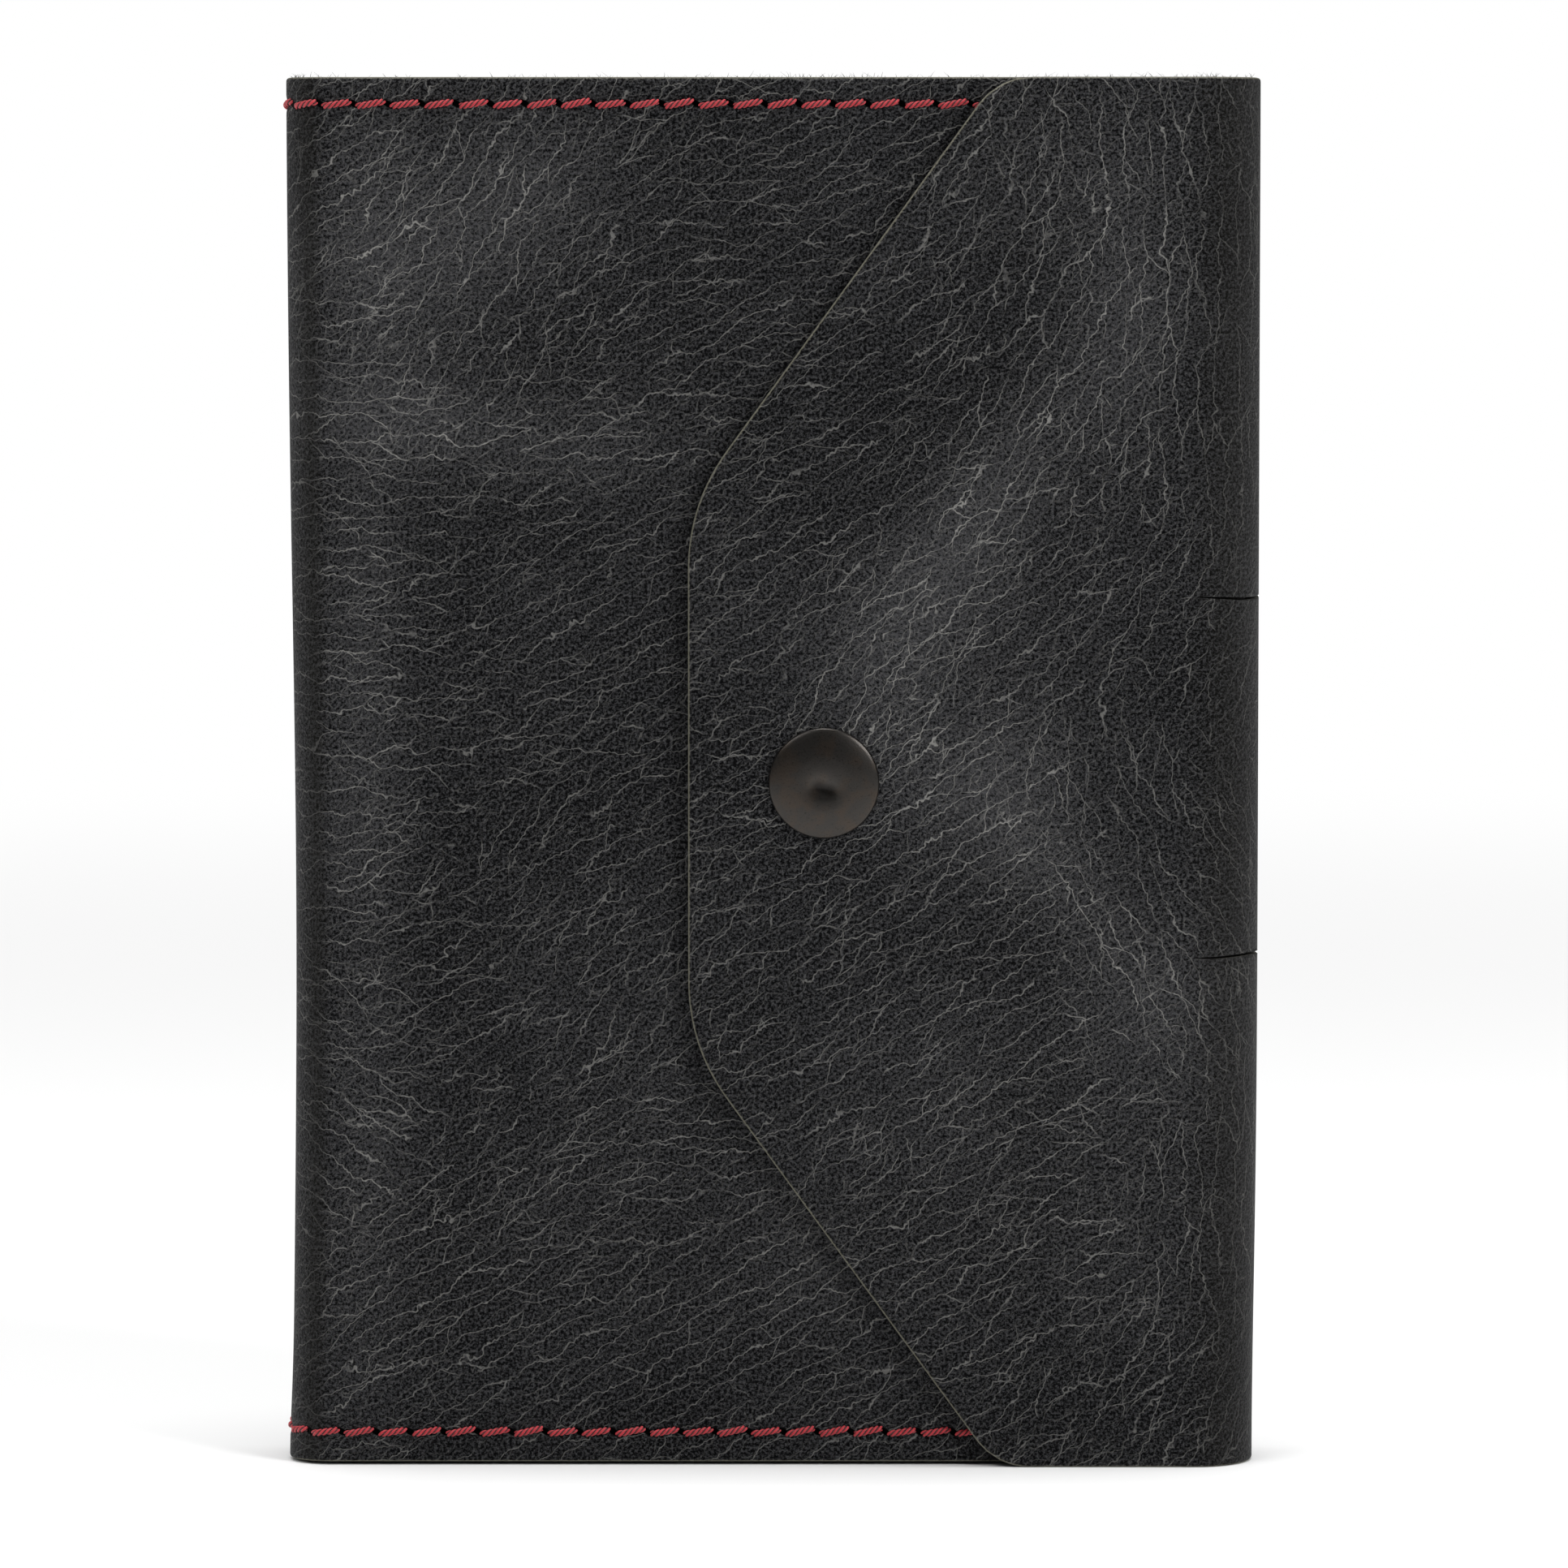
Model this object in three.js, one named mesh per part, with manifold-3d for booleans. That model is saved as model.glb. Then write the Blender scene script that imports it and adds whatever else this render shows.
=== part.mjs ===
// Leather notebook cover with a fold-over flap, a snap and a pen loop, holding a pocket notebook.
//
// Millimetres, +Z up. The closed cover stands on its bottom edge: the front faces -Y, the spine is
// at -X and the fore-edge at +X. Every leather piece is one stretch of the same plan-view line that
// runs front, spine, back, fore-edge, flap, so the pieces are described by where they start and stop
// on it. Depths are measured from the plane between the two halves of the page block.

import * as THREE from 'three';
import { mergeVertices } from 'three/addons/utils/BufferGeometryUtils.js';
import Module from 'manifold-3d';

const wasm = await Module();
wasm.setup();

// ---- Driving dimensions ----------------------------------------------------------------------

const WIDTH = 110;
const HEIGHT = 157;
const LEATHER = 1.5;
const LEAF = 0.9;
const BOARD = 1.2;
const PAGES = 2.9;
const CLEAR = 0.2;
const FOLD_GAP = 0.3;

// Depths of the stack, from the middle of the page block outwards.
const PAGE_IN = 0.1;
const PAGE_OUT = PAGE_IN + PAGES;
const LEAF_IN = PAGE_OUT + CLEAR;
const LEAF_OUT = LEAF_IN + LEAF;
const BOARD_IN = LEAF_OUT + CLEAR;
const BOARD_OUT = BOARD_IN + BOARD;
const SKIN = BOARD_OUT + CLEAR + LEATHER;
const FLAP_GAP = 0.4;
const FLAP_SKIN = SKIN + FLAP_GAP + LEATHER;

// Bends of the outer leather: outside radii and where they end.
const SPINE_X = -WIDTH / 2;
const FORE_X = WIDTH / 2;
const SPINE_R = 5;
const FORE_R = 7;
const SPINE_BEND_X = SPINE_X + SPINE_R;
const FORE_BEND_X = FORE_X - FORE_R;
const BEND_STEPS = 4;

// The front cover's free edge, turned in to make its pocket.
const TURN_X = 50.5;
const TURN_R = (SKIN - LEAF_IN) / 2;
const TURN_START_X = TURN_X - TURN_R;
const PANEL_BOTTOM = 0.8;
const FRONT_LEAF_X = -30;
const BACK_LEAF_X = -30;
const BACK_LEAF_END_X = 46;

// The flap's free edge, seen from the front.
const FLAP_TIP_X = -9.6;
const FLAP_MIDDLE = HEIGHT / 2;
const FLAP_TIP_HALF = 30.6;
const FLAP_TIP_R = 22;
const FLAP_SLANT = 0.727;
const FLAP_SHOULDER_X = FLAP_TIP_X + (HEIGHT / 2 - FLAP_TIP_HALF) * FLAP_SLANT;
const FLAP_SHOULDER_R = 7;
const FLAP_EDGE_STEPS = 6;

// Pen loop: the strip of the fore-edge between two slits.
const LOOP_LOW = 58;
const LOOP_HIGH = 98.5;
const SLIT = 0.4;
const SLIT_X = 47.5;

// Seams: saddle stitches in a shallow groove.
const SEAM_MARGIN = 3;
const STITCH_PITCH = 3.85;
const THREAD = 0.8;
const THREAD_PROUD = 0.2;
const THREAD_SUNK = 0.45;
const THREAD_POST = 0.6;
const SEAM_CLEAR = 0.3;
const SEAM_END_X = 49;
const BACK_SEAM_END_X = 45.5;

// Snap fastener: radii about its own axis.
const SNAP_X = 5.7;
const SNAP_Z = 77.7;
const SNAP_SIDES = 32;
const CAP_R = 6.25;
const CAP_RISE = 1.3;
const CAP_BASE = FLAP_SKIN + 0.15;
const SHANK_R = 1.8;
const SOCKET_R = 5.2;
const SOCKET_BORE_R = 2.7;
const SPRING_GROOVE_R = 3.6;
const STUD_FLANGE_R = 4.2;
const STUD_NECK_R = 1.75;
const STUD_HEAD_R = 2.1;
const STUD_BORE_R = 1.3;
const POST_FLANGE_R = 4.6;
const POST_R = 1;
const WELL_CLEAR = 0.6;
const PLATE = 0.3;

// Notebook.
const NOTEBOOK_BOTTOM = 4.4;
const NOTEBOOK_HEIGHT = 148;
const NOTEBOOK_END_X = TURN_X - LEATHER - FOLD_GAP;
const BOARD_START_X = -50.6;
const PAGE_START_X = -51;
const PAGE_INSET = 2;
const BINDING_X = -53.2;
const BINDING = 1;
const BINDING_HALF = 2.9;

// ---- Plan-view line ----------------------------------------------------------------------------

// A station is a point on the leather's outer face and the outward normal there.
function station(x, y, nx, ny) {
  return { x, y, nx, ny };
}

function bend(cx, cy, radius, fromDeg, toDeg, steps = BEND_STEPS) {
  const stations = [];
  for (let i = 0; i <= steps; i += 1) {
    const angle = THREE.MathUtils.degToRad(fromDeg + ((toDeg - fromDeg) * i) / steps);
    const nx = Math.cos(angle);
    const ny = Math.sin(angle);
    stations.push(station(cx + radius * nx, cy + radius * ny, nx, ny));
  }
  return stations;
}

const spineY = SKIN - SPINE_R;
const foreBackY = SKIN - FORE_R;
const foreFrontY = -(FLAP_SKIN - FORE_R);

// The outer leather's stretches. Neighbours meet in the middle of a bend, each `gap` short of it.
function stretches(gap) {
  const spineGap = THREE.MathUtils.radToDeg(gap / SPINE_R);
  const foreGap = THREE.MathUtils.radToDeg(gap / FORE_R);
  return {
    front: [
      station(TURN_START_X, -SKIN, 0, -1),
      ...bend(SPINE_BEND_X, -spineY, SPINE_R, 270, 225 + spineGap),
    ],
    spine: [
      ...bend(SPINE_BEND_X, -spineY, SPINE_R, 225 - spineGap, 180),
      ...bend(SPINE_BEND_X, spineY, SPINE_R, 180, 135 + spineGap),
    ],
    back: [
      ...bend(SPINE_BEND_X, spineY, SPINE_R, 135 - spineGap, 90),
      ...bend(FORE_BEND_X, foreBackY, FORE_R, 90, 45 + foreGap),
    ],
    foreEdge: [
      ...bend(FORE_BEND_X, foreBackY, FORE_R, 45 - foreGap, 0),
      ...bend(FORE_BEND_X, foreFrontY, FORE_R, 0, -45 + foreGap),
    ],
    flap: [
      ...bend(FORE_BEND_X, foreFrontY, FORE_R, -45 - foreGap, -90),
      station(FLAP_TIP_X - 1, -FLAP_SKIN, 0, -1),
    ],
  };
}

const LINES = stretches(FOLD_GAP);
const THREAD_LINES = stretches(2 * FOLD_GAP);
const GROOVE_LINES = stretches(0);

// ---- Solids --------------------------------------------------------------------------------------

function solid(geometry) {
  geometry.deleteAttribute('normal');
  geometry.deleteAttribute('uv');
  const merged = mergeVertices(geometry, 1e-4);
  return new wasm.Manifold(new wasm.Mesh({
    numProp: 3,
    vertProperties: new Float32Array(merged.attributes.position.array),
    triVerts: new Uint32Array(merged.index.array),
  }));
}

function geometryOf(body) {
  const mesh = body.getMesh();
  const geometry = new THREE.BufferGeometry();
  geometry.setAttribute('position', new THREE.BufferAttribute(mesh.vertProperties, 3));
  geometry.setIndex(new THREE.BufferAttribute(mesh.triVerts, 1));
  geometry.computeVertexNormals();
  return geometry;
}

// Upright prism over a plan-view outline.
function prism(points, low, high) {
  const shape = new THREE.Shape(points.map(([x, y]) => new THREE.Vector2(x, y)));
  const geometry = new THREE.ExtrudeGeometry(shape, { depth: high - low, bevelEnabled: false });
  return solid(geometry.translate(0, 0, low));
}

// Upright band that follows a line of stations between two offsets along their normals.
function band(stations, inner, outer, low, high) {
  const outside = stations.map((s) => [s.x + s.nx * outer, s.y + s.ny * outer]);
  const inside = stations.map((s) => [s.x + s.nx * inner, s.y + s.ny * inner]);
  return prism([...outside, ...inside.reverse()], low, high);
}

function box(x0, x1, y0, y1, z0, z1) {
  const geometry = new THREE.BoxGeometry(x1 - x0, y1 - y0, z1 - z0);
  return solid(geometry.translate((x0 + x1) / 2, (y0 + y1) / 2, (z0 + z1) / 2));
}

// Turned solid about the snap's axis. A profile point is [radius, depth towards the front].
function turned(profile) {
  const points = profile.map(([radius, depth]) => new THREE.Vector2(radius, depth));
  const geometry = new THREE.LatheGeometry(points, SNAP_SIDES);
  return solid(geometry.rotateX(Math.PI).translate(SNAP_X, 0, SNAP_Z));
}

// Round cutter about the snap's axis.
function drill(radius, from, to) {
  return turned([[0, from], [radius, from], [radius, to], [0, to]]);
}

// ---- Seams ---------------------------------------------------------------------------------------

// Point and normal at a distance along a line of stations.
function along(stations, distance) {
  let left = distance;
  for (let i = 1; i < stations.length; i += 1) {
    const a = stations[i - 1];
    const b = stations[i];
    const length = Math.hypot(b.x - a.x, b.y - a.y);
    if (left <= length || i === stations.length - 1) {
      const t = left / length;
      const nx = THREE.MathUtils.lerp(a.nx, b.nx, t);
      const ny = THREE.MathUtils.lerp(a.ny, b.ny, t);
      const size = Math.hypot(nx, ny);
      const x = THREE.MathUtils.lerp(a.x, b.x, t);
      const y = THREE.MathUtils.lerp(a.y, b.y, t);
      return station(x, y, nx / size, ny / size);
    }
    left -= length;
  }
  return stations[0];
}

function lineLength(stations) {
  let total = 0;
  for (let i = 1; i < stations.length; i += 1) {
    total += Math.hypot(stations[i].x - stations[i - 1].x, stations[i].y - stations[i - 1].y);
  }
  return total;
}

// Square peg of a width along a station's normal, between two offsets.
function peg(at, width, inner, outer, z) {
  const tx = (-at.ny * width) / 2;
  const ty = (at.nx * width) / 2;
  const corner = (side, offset) => [
    at.x + side * tx + at.nx * offset,
    at.y + side * ty + at.ny * offset,
  ];
  const outline = [corner(-1, inner), corner(1, inner), corner(1, outer), corner(-1, outer)];
  return prism(outline, z - width / 2, z + width / 2);
}

const SEAM_HEIGHTS = {
  top: HEIGHT - SEAM_MARGIN,
  bottom: PANEL_BOTTOM + SEAM_MARGIN,
};

const frontBend = THREAD_LINES.front.slice(1);
const backBend = THREAD_LINES.back.slice(0, BEND_STEPS + 1);
const atEnd = (x, y) => station(x, y, 0, Math.sign(y));

// What a seam goes through: its thread's line, the longer line of its groove, how deep below the
// outer face the thread turns back at a stitch, and the rails of thread on the inner faces.
const SEAMS = {
  front: {
    line: [atEnd(SEAM_END_X, -SKIN), ...frontBend],
    groove: [atEnd(SEAM_END_X + SEAM_CLEAR, -SKIN), ...GROOVE_LINES.front.slice(1)],
    under: (at) => (at.x > FRONT_LEAF_X + 1 ? SKIN - LEAF_IN : LEATHER),
    rails: [
      {
        line: [atEnd(SEAM_END_X, -SKIN), atEnd(FRONT_LEAF_X + 2, -SKIN)],
        depth: SKIN - LEAF_IN,
      },
      { line: [atEnd(FRONT_LEAF_X - 1, -SKIN), ...frontBend], depth: LEATHER },
    ],
  },
  spine: {
    line: THREAD_LINES.spine,
    groove: GROOVE_LINES.spine,
    under: () => LEATHER,
    rails: [{ line: THREAD_LINES.spine, depth: LEATHER }],
  },
  back: {
    line: [...backBend, atEnd(BACK_SEAM_END_X, SKIN)],
    groove: [
      ...GROOVE_LINES.back.slice(0, BEND_STEPS + 1),
      atEnd(BACK_SEAM_END_X + SEAM_CLEAR, SKIN),
    ],
    under: (at) => (at.x > BACK_LEAF_X + 1 ? SKIN - LEAF_IN : LEATHER),
    rails: [
      { line: [...backBend, atEnd(BACK_LEAF_X - 1, SKIN)], depth: LEATHER },
      {
        line: [atEnd(BACK_LEAF_X + 2, SKIN), atEnd(BACK_SEAM_END_X, SKIN)],
        depth: SKIN - LEAF_IN,
      },
    ],
  },
};

function stitchPlaces(seam) {
  const total = lineLength(seam.line);
  const count = Math.floor((total - 2) / STITCH_PITCH);
  const margin = (total - count * STITCH_PITCH) / 2;
  const places = [];
  for (let i = 0; i <= count; i += 1) {
    places.push(along(seam.line, margin + i * STITCH_PITCH));
  }
  return places;
}

// One row of thread: a rail on the outer face, pegs through the holes, rails on the inner faces.
function thread(seam, z) {
  const half = THREAD / 2;
  let body = band(seam.line, -THREAD_SUNK, THREAD_PROUD, z - half, z + half);
  for (const rail of seam.rails) {
    const near = -(rail.depth + CLEAR / 4);
    const far = near - THREAD_POST / 4;
    body = body.add(band(rail.line, far, near, z - half, z + half));
  }
  for (const at of stitchPlaces(seam)) {
    body = body.add(peg(at, THREAD_POST, -seam.under(at) - CLEAR / 2, 0, z));
  }
  return body;
}

// The groove and the holes that one row of thread needs.
function threadRoom(seam, z) {
  const half = THREAD / 2 + SEAM_CLEAR;
  let room = band(seam.groove, -THREAD_SUNK - SEAM_CLEAR, 2 * THREAD_PROUD, z - half, z + half);
  for (const at of stitchPlaces(seam)) {
    const width = THREAD_POST + 2 * SEAM_CLEAR;
    room = room.add(peg(at, width, -seam.under(at) - CLEAR / 4, 0, z));
  }
  return room;
}

function withoutSeams(body, seam) {
  let cut = body;
  for (const z of Object.values(SEAM_HEIGHTS)) {
    cut = cut.subtract(threadRoom(seam, z));
  }
  return cut;
}

// ---- Snap fastener -------------------------------------------------------------------------------

// Gaps and thicknesses of the snap's layers.
const POST_SUNK = 0.03;
const WEB_GAP = 0.12;
const WEB_THICK = 0.35;
const SOCKET_GAP = 0.25;
const HEAD_HEIGHT = 0.6;
const POST_SHORT = 0.1;
const ROOF_GAP = 0.2;
const ROOF_THICK = 0.2;
const FLOOR_GAP = 0.2;

// Depths of the snap's layers, from the inside of the front cover outwards.
const POST_FLANGE = SKIN - LEATHER + POST_SUNK;
const WEB_IN = POST_FLANGE + PLATE + WEB_GAP;
const WEB_OUT = WEB_IN + WEB_THICK;
const STUD_FLANGE = WEB_OUT + WEB_GAP;
const SOCKET_IN = STUD_FLANGE + PLATE + SOCKET_GAP;
const STUD_TOP = SOCKET_IN + HEAD_HEIGHT;
const POST_TOP = STUD_TOP - POST_SHORT;
const SOCKET_PLATE = STUD_TOP + ROOF_GAP;
const SOCKET_OUT = SOCKET_PLATE + ROOF_THICK;
const FLAP_FLOOR = SOCKET_OUT + FLOOR_GAP;

// Low dome with a rolled rim, on a short shank.
function snapCap() {
  const rim = 0.35;
  const roll = 0.15;
  const bevel = 0.1;
  const dome = [];
  for (let i = 0; i <= BEND_STEPS; i += 1) {
    const t = i / BEND_STEPS;
    dome.push([(CAP_R - roll) * (1 - t), CAP_BASE + rim + (CAP_RISE - rim) * (1 - (1 - t) ** 2)]);
  }
  return turned([
    [0, SOCKET_PLATE],
    [SHANK_R, SOCKET_PLATE],
    [SHANK_R, CAP_BASE],
    [CAP_R, CAP_BASE],
    [CAP_R, CAP_BASE + rim - bevel],
    ...dome,
  ]);
}

// Cup that hangs behind the flap and takes the stud; the groove holds the ring spring.
function snapSocket() {
  const groove = 0.45;
  const lip = 0.1;
  return turned([
    [SOCKET_BORE_R, SOCKET_IN],
    [SOCKET_R, SOCKET_IN],
    [SOCKET_R, SOCKET_OUT],
    [SHANK_R + SEAM_CLEAR, SOCKET_OUT],
    [SHANK_R + SEAM_CLEAR, SOCKET_PLATE],
    [SPRING_GROOVE_R, SOCKET_PLATE],
    [SPRING_GROOVE_R, SOCKET_PLATE - groove],
    [SOCKET_BORE_R, SOCKET_PLATE - groove - lip],
    [SOCKET_BORE_R, SOCKET_IN],
  ]);
}

function snapSpring() {
  const wire = 0.14;
  const slack = 0.25;
  const sunk = 0.225;
  const radius = SPRING_GROOVE_R - wire - slack;
  const depth = SOCKET_PLATE - sunk;
  return turned([
    [radius + wire, depth - wire],
    [radius + wire, depth + wire],
    [radius - wire, depth + wire],
    [radius - wire, depth - wire],
    [radius + wire, depth - wire],
  ]);
}

// Flange on the front cover with a hollow, slightly bulbous neck.
function snapStud() {
  const neckEnd = 0.1;
  const headStart = 0.25;
  const headEnd = 0.15;
  return turned([
    [STUD_BORE_R, STUD_FLANGE],
    [STUD_FLANGE_R, STUD_FLANGE],
    [STUD_FLANGE_R, STUD_FLANGE + PLATE],
    [STUD_NECK_R, STUD_FLANGE + PLATE],
    [STUD_NECK_R, SOCKET_IN + neckEnd],
    [STUD_HEAD_R, SOCKET_IN + headStart],
    [STUD_HEAD_R, STUD_TOP - headEnd],
    [STUD_NECK_R, STUD_TOP],
    [STUD_BORE_R, STUD_TOP],
    [STUD_BORE_R, STUD_FLANGE],
  ]);
}

// Flanged rivet that comes from inside the cover and is set into the stud.
function snapPost() {
  return turned([
    [0, POST_FLANGE],
    [POST_FLANGE_R, POST_FLANGE],
    [POST_FLANGE_R, POST_FLANGE + PLATE],
    [POST_R, POST_FLANGE + PLATE],
    [POST_R, POST_TOP],
    [0, POST_TOP],
  ]);
}

// ---- Leather pieces ------------------------------------------------------------------------------

// Slits above and below the pen loop, as far as they reach into a neighbour of the fore-edge.
function withoutSlits(body) {
  let cut = body;
  for (const z of [LOOP_LOW, LOOP_HIGH]) {
    const half = SLIT / 2;
    cut = cut.subtract(box(SLIT_X, FORE_X + 1, -FLAP_SKIN - 1, SKIN + 1, z - half, z + half));
  }
  return cut;
}

// The front leather, with a well on each side of a thin web where the snap's stud is riveted.
function frontPanel() {
  const flat = band(LINES.front, -LEATHER, 0, PANEL_BOTTOM, HEIGHT);
  return withoutSeams(flat, SEAMS.front)
    .subtract(drill(SOCKET_R + WELL_CLEAR, WEB_OUT, SKIN + 1))
    .subtract(drill(POST_FLANGE_R + SEAM_CLEAR, SKIN - LEATHER - 1, WEB_IN))
    .subtract(drill(POST_R + SEAM_CLEAR, WEB_IN - 1, WEB_OUT + 1));
}

// The turn-in: leather rolled round the board's edge, thinning to the pocket leaf.
function frontEdgeFold() {
  const start = TURN_START_X + CLEAR;
  const middle = -(SKIN + LEAF_IN) / 2;
  const outside = bend(start, middle, TURN_R, 270, 450, 2 * BEND_STEPS);
  const inside = [
    [start, -LEAF_OUT],
    [TURN_X - LEATHER, -LEAF_OUT],
    [TURN_X - LEATHER, -(SKIN - LEATHER)],
    [start, -(SKIN - LEATHER)],
  ];
  const outline = [...outside.map((s) => [s.x, s.y]), ...inside];
  return withoutSeams(prism(outline, PANEL_BOTTOM, HEIGHT), SEAMS.front);
}

function frontPocket() {
  const leaf = box(FRONT_LEAF_X, TURN_START_X, -LEAF_OUT, -LEAF_IN, PANEL_BOTTOM, HEIGHT);
  return withoutSeams(leaf, SEAMS.front);
}

function backPocket() {
  const leaf = box(BACK_LEAF_X, BACK_LEAF_END_X, LEAF_IN, LEAF_OUT, PANEL_BOTTOM, HEIGHT);
  return withoutSeams(leaf, SEAMS.back);
}

function spineWrap() {
  return withoutSeams(band(LINES.spine, -LEATHER, 0, 0, HEIGHT), SEAMS.spine);
}

function backPanel() {
  const flat = band(LINES.back, -LEATHER, 0, 0, HEIGHT);
  return withoutSlits(withoutSeams(flat, SEAMS.back));
}

function foreEdge(low, high) {
  return band(LINES.foreEdge, -LEATHER, 0, low, high);
}

// The flap's outline from the front: shoulders on the top and bottom edges, slanting sides and a
// straight tip, all with rounded corners.
function flapOutline() {
  const corners = [
    [FORE_X + 1, 0, 0],
    [FLAP_SHOULDER_X, 0, FLAP_SHOULDER_R],
    [FLAP_TIP_X, FLAP_MIDDLE - FLAP_TIP_HALF, FLAP_TIP_R],
    [FLAP_TIP_X, FLAP_MIDDLE + FLAP_TIP_HALF, FLAP_TIP_R],
    [FLAP_SHOULDER_X, HEIGHT, FLAP_SHOULDER_R],
    [FORE_X + 1, HEIGHT, 0],
  ];
  const points = [];
  corners.forEach(([x, z, radius], i) => {
    const here = new THREE.Vector2(x, z);
    if (radius === 0) {
      points.push(here);
      return;
    }
    const [beforeX, beforeZ] = corners[i - 1];
    const [afterX, afterZ] = corners[i + 1];
    const toBefore = new THREE.Vector2(beforeX, beforeZ).sub(here).normalize();
    const toAfter = new THREE.Vector2(afterX, afterZ).sub(here).normalize();
    const halfAngle = Math.acos(toBefore.dot(toAfter)) / 2;
    const reach = radius / Math.tan(halfAngle);
    const start = here.clone().addScaledVector(toBefore, reach);
    const end = here.clone().addScaledVector(toAfter, reach);
    const curve = new THREE.QuadraticBezierCurve(start, here, end);
    points.push(...curve.getPoints(FLAP_EDGE_STEPS));
  });
  return points;
}

function flap() {
  const depth = FLAP_SKIN + SKIN;
  const shape = new THREE.Shape(flapOutline());
  const geometry = new THREE.ExtrudeGeometry(shape, { depth, bevelEnabled: false });
  const cutter = solid(geometry.rotateX(Math.PI / 2).translate(0, SKIN, 0));
  const sheet = band(LINES.flap, -LEATHER, 0, 0, HEIGHT).intersect(cutter);
  return withoutSlits(sheet)
    .subtract(drill(SOCKET_R + SEAM_CLEAR, SKIN - 1, FLAP_FLOOR))
    .subtract(drill(SHANK_R + SEAM_CLEAR, SKIN, FLAP_SKIN + 1));
}

// ---- Notebook ------------------------------------------------------------------------------------

const NOTEBOOK_TOP = NOTEBOOK_BOTTOM + NOTEBOOK_HEIGHT;

function notebookBoard(side) {
  const [y0, y1] = side < 0 ? [-BOARD_OUT, -BOARD_IN] : [BOARD_IN, BOARD_OUT];
  return box(BOARD_START_X, NOTEBOOK_END_X, y0, y1, NOTEBOOK_BOTTOM, NOTEBOOK_TOP);
}

function pageBlock(side) {
  const [y0, y1] = side < 0 ? [-PAGE_OUT, -PAGE_IN] : [PAGE_IN, PAGE_OUT];
  const end = NOTEBOOK_END_X - PAGE_INSET;
  const low = NOTEBOOK_BOTTOM + PAGE_INSET / 2;
  return box(PAGE_START_X, end, y0, y1, low, NOTEBOOK_TOP - PAGE_INSET / 2);
}

function notebookSpine() {
  const end = BINDING_X + BINDING;
  return box(BINDING_X, end, -BINDING_HALF, BINDING_HALF, NOTEBOOK_BOTTOM, NOTEBOOK_TOP);
}

// ---- Scene ---------------------------------------------------------------------------------------

const MATERIALS = {
  leather: { color: 0x28282a, roughness: 0.6, metalness: 0 },
  lining: { color: 0x3a3836, roughness: 0.9, metalness: 0 },
  thread: { color: 0xb4283a, roughness: 0.6, metalness: 0 },
  gunmetal: { color: 0x4a4643, roughness: 0.35, metalness: 1 },
  nickel: { color: 0x9a9894, roughness: 0.35, metalness: 1 },
  board: { color: 0x1d1e20, roughness: 0.8, metalness: 0 },
  paper: { color: 0xf1ebdc, roughness: 0.9, metalness: 0 },
};

const bodies = [
  ['front_panel', 'leather', frontPanel()],
  ['front_edge_fold', 'leather', frontEdgeFold()],
  ['front_pocket', 'lining', frontPocket()],
  ['spine_wrap', 'leather', spineWrap()],
  ['back_panel', 'leather', backPanel()],
  ['back_pocket', 'lining', backPocket()],
  ['fore_edge_upper', 'leather', foreEdge(LOOP_HIGH + SLIT / 2, HEIGHT)],
  ['pen_loop_strip', 'leather', foreEdge(LOOP_LOW + SLIT / 2, LOOP_HIGH - SLIT / 2)],
  ['fore_edge_lower', 'leather', foreEdge(0, LOOP_LOW - SLIT / 2)],
  ['flap', 'leather', flap()],
  ['snap_cap', 'gunmetal', snapCap()],
  ['snap_socket', 'gunmetal', snapSocket()],
  ['snap_spring', 'nickel', snapSpring()],
  ['snap_stud', 'gunmetal', snapStud()],
  ['snap_post', 'gunmetal', snapPost()],
  ['notebook_front_board', 'board', notebookBoard(-1)],
  ['notebook_back_board', 'board', notebookBoard(1)],
  ['notebook_spine', 'board', notebookSpine()],
  ['pages_front', 'paper', pageBlock(-1)],
  ['pages_back', 'paper', pageBlock(1)],
];

for (const [part, seam] of Object.entries(SEAMS)) {
  for (const [row, z] of Object.entries(SEAM_HEIGHTS)) {
    bodies.push([`seam_${part}_${row}`, 'thread', thread(seam, z)]);
  }
}

// The frame's origin is the middle of the closed cover's footprint.
const lowX = SPINE_X - THREAD_PROUD;
const frontY = -(CAP_BASE + CAP_RISE);
const backY = SKIN + THREAD_PROUD;

const cover = new THREE.Group();
cover.position.set(-(lowX + FORE_X) / 2, -(frontY + backY) / 2, 0);

for (const [name, look, body] of bodies) {
  const mesh = new THREE.Mesh(geometryOf(body), new THREE.MeshStandardMaterial(MATERIALS[look]));
  mesh.name = name;
  cover.add(mesh);
}

export default cover;
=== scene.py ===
"""Leather notebook cover with a fold-over flap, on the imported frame.

Lengths are millimetres until a mesh is made. The outer leather is one long sheet: pocket leaf,
turned edge, front, spine, back, fore-edge and flap. A place on it is its distance along that line
and its height, so every piece, stitch and crease is described on the flat sheet.
"""

import math

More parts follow.
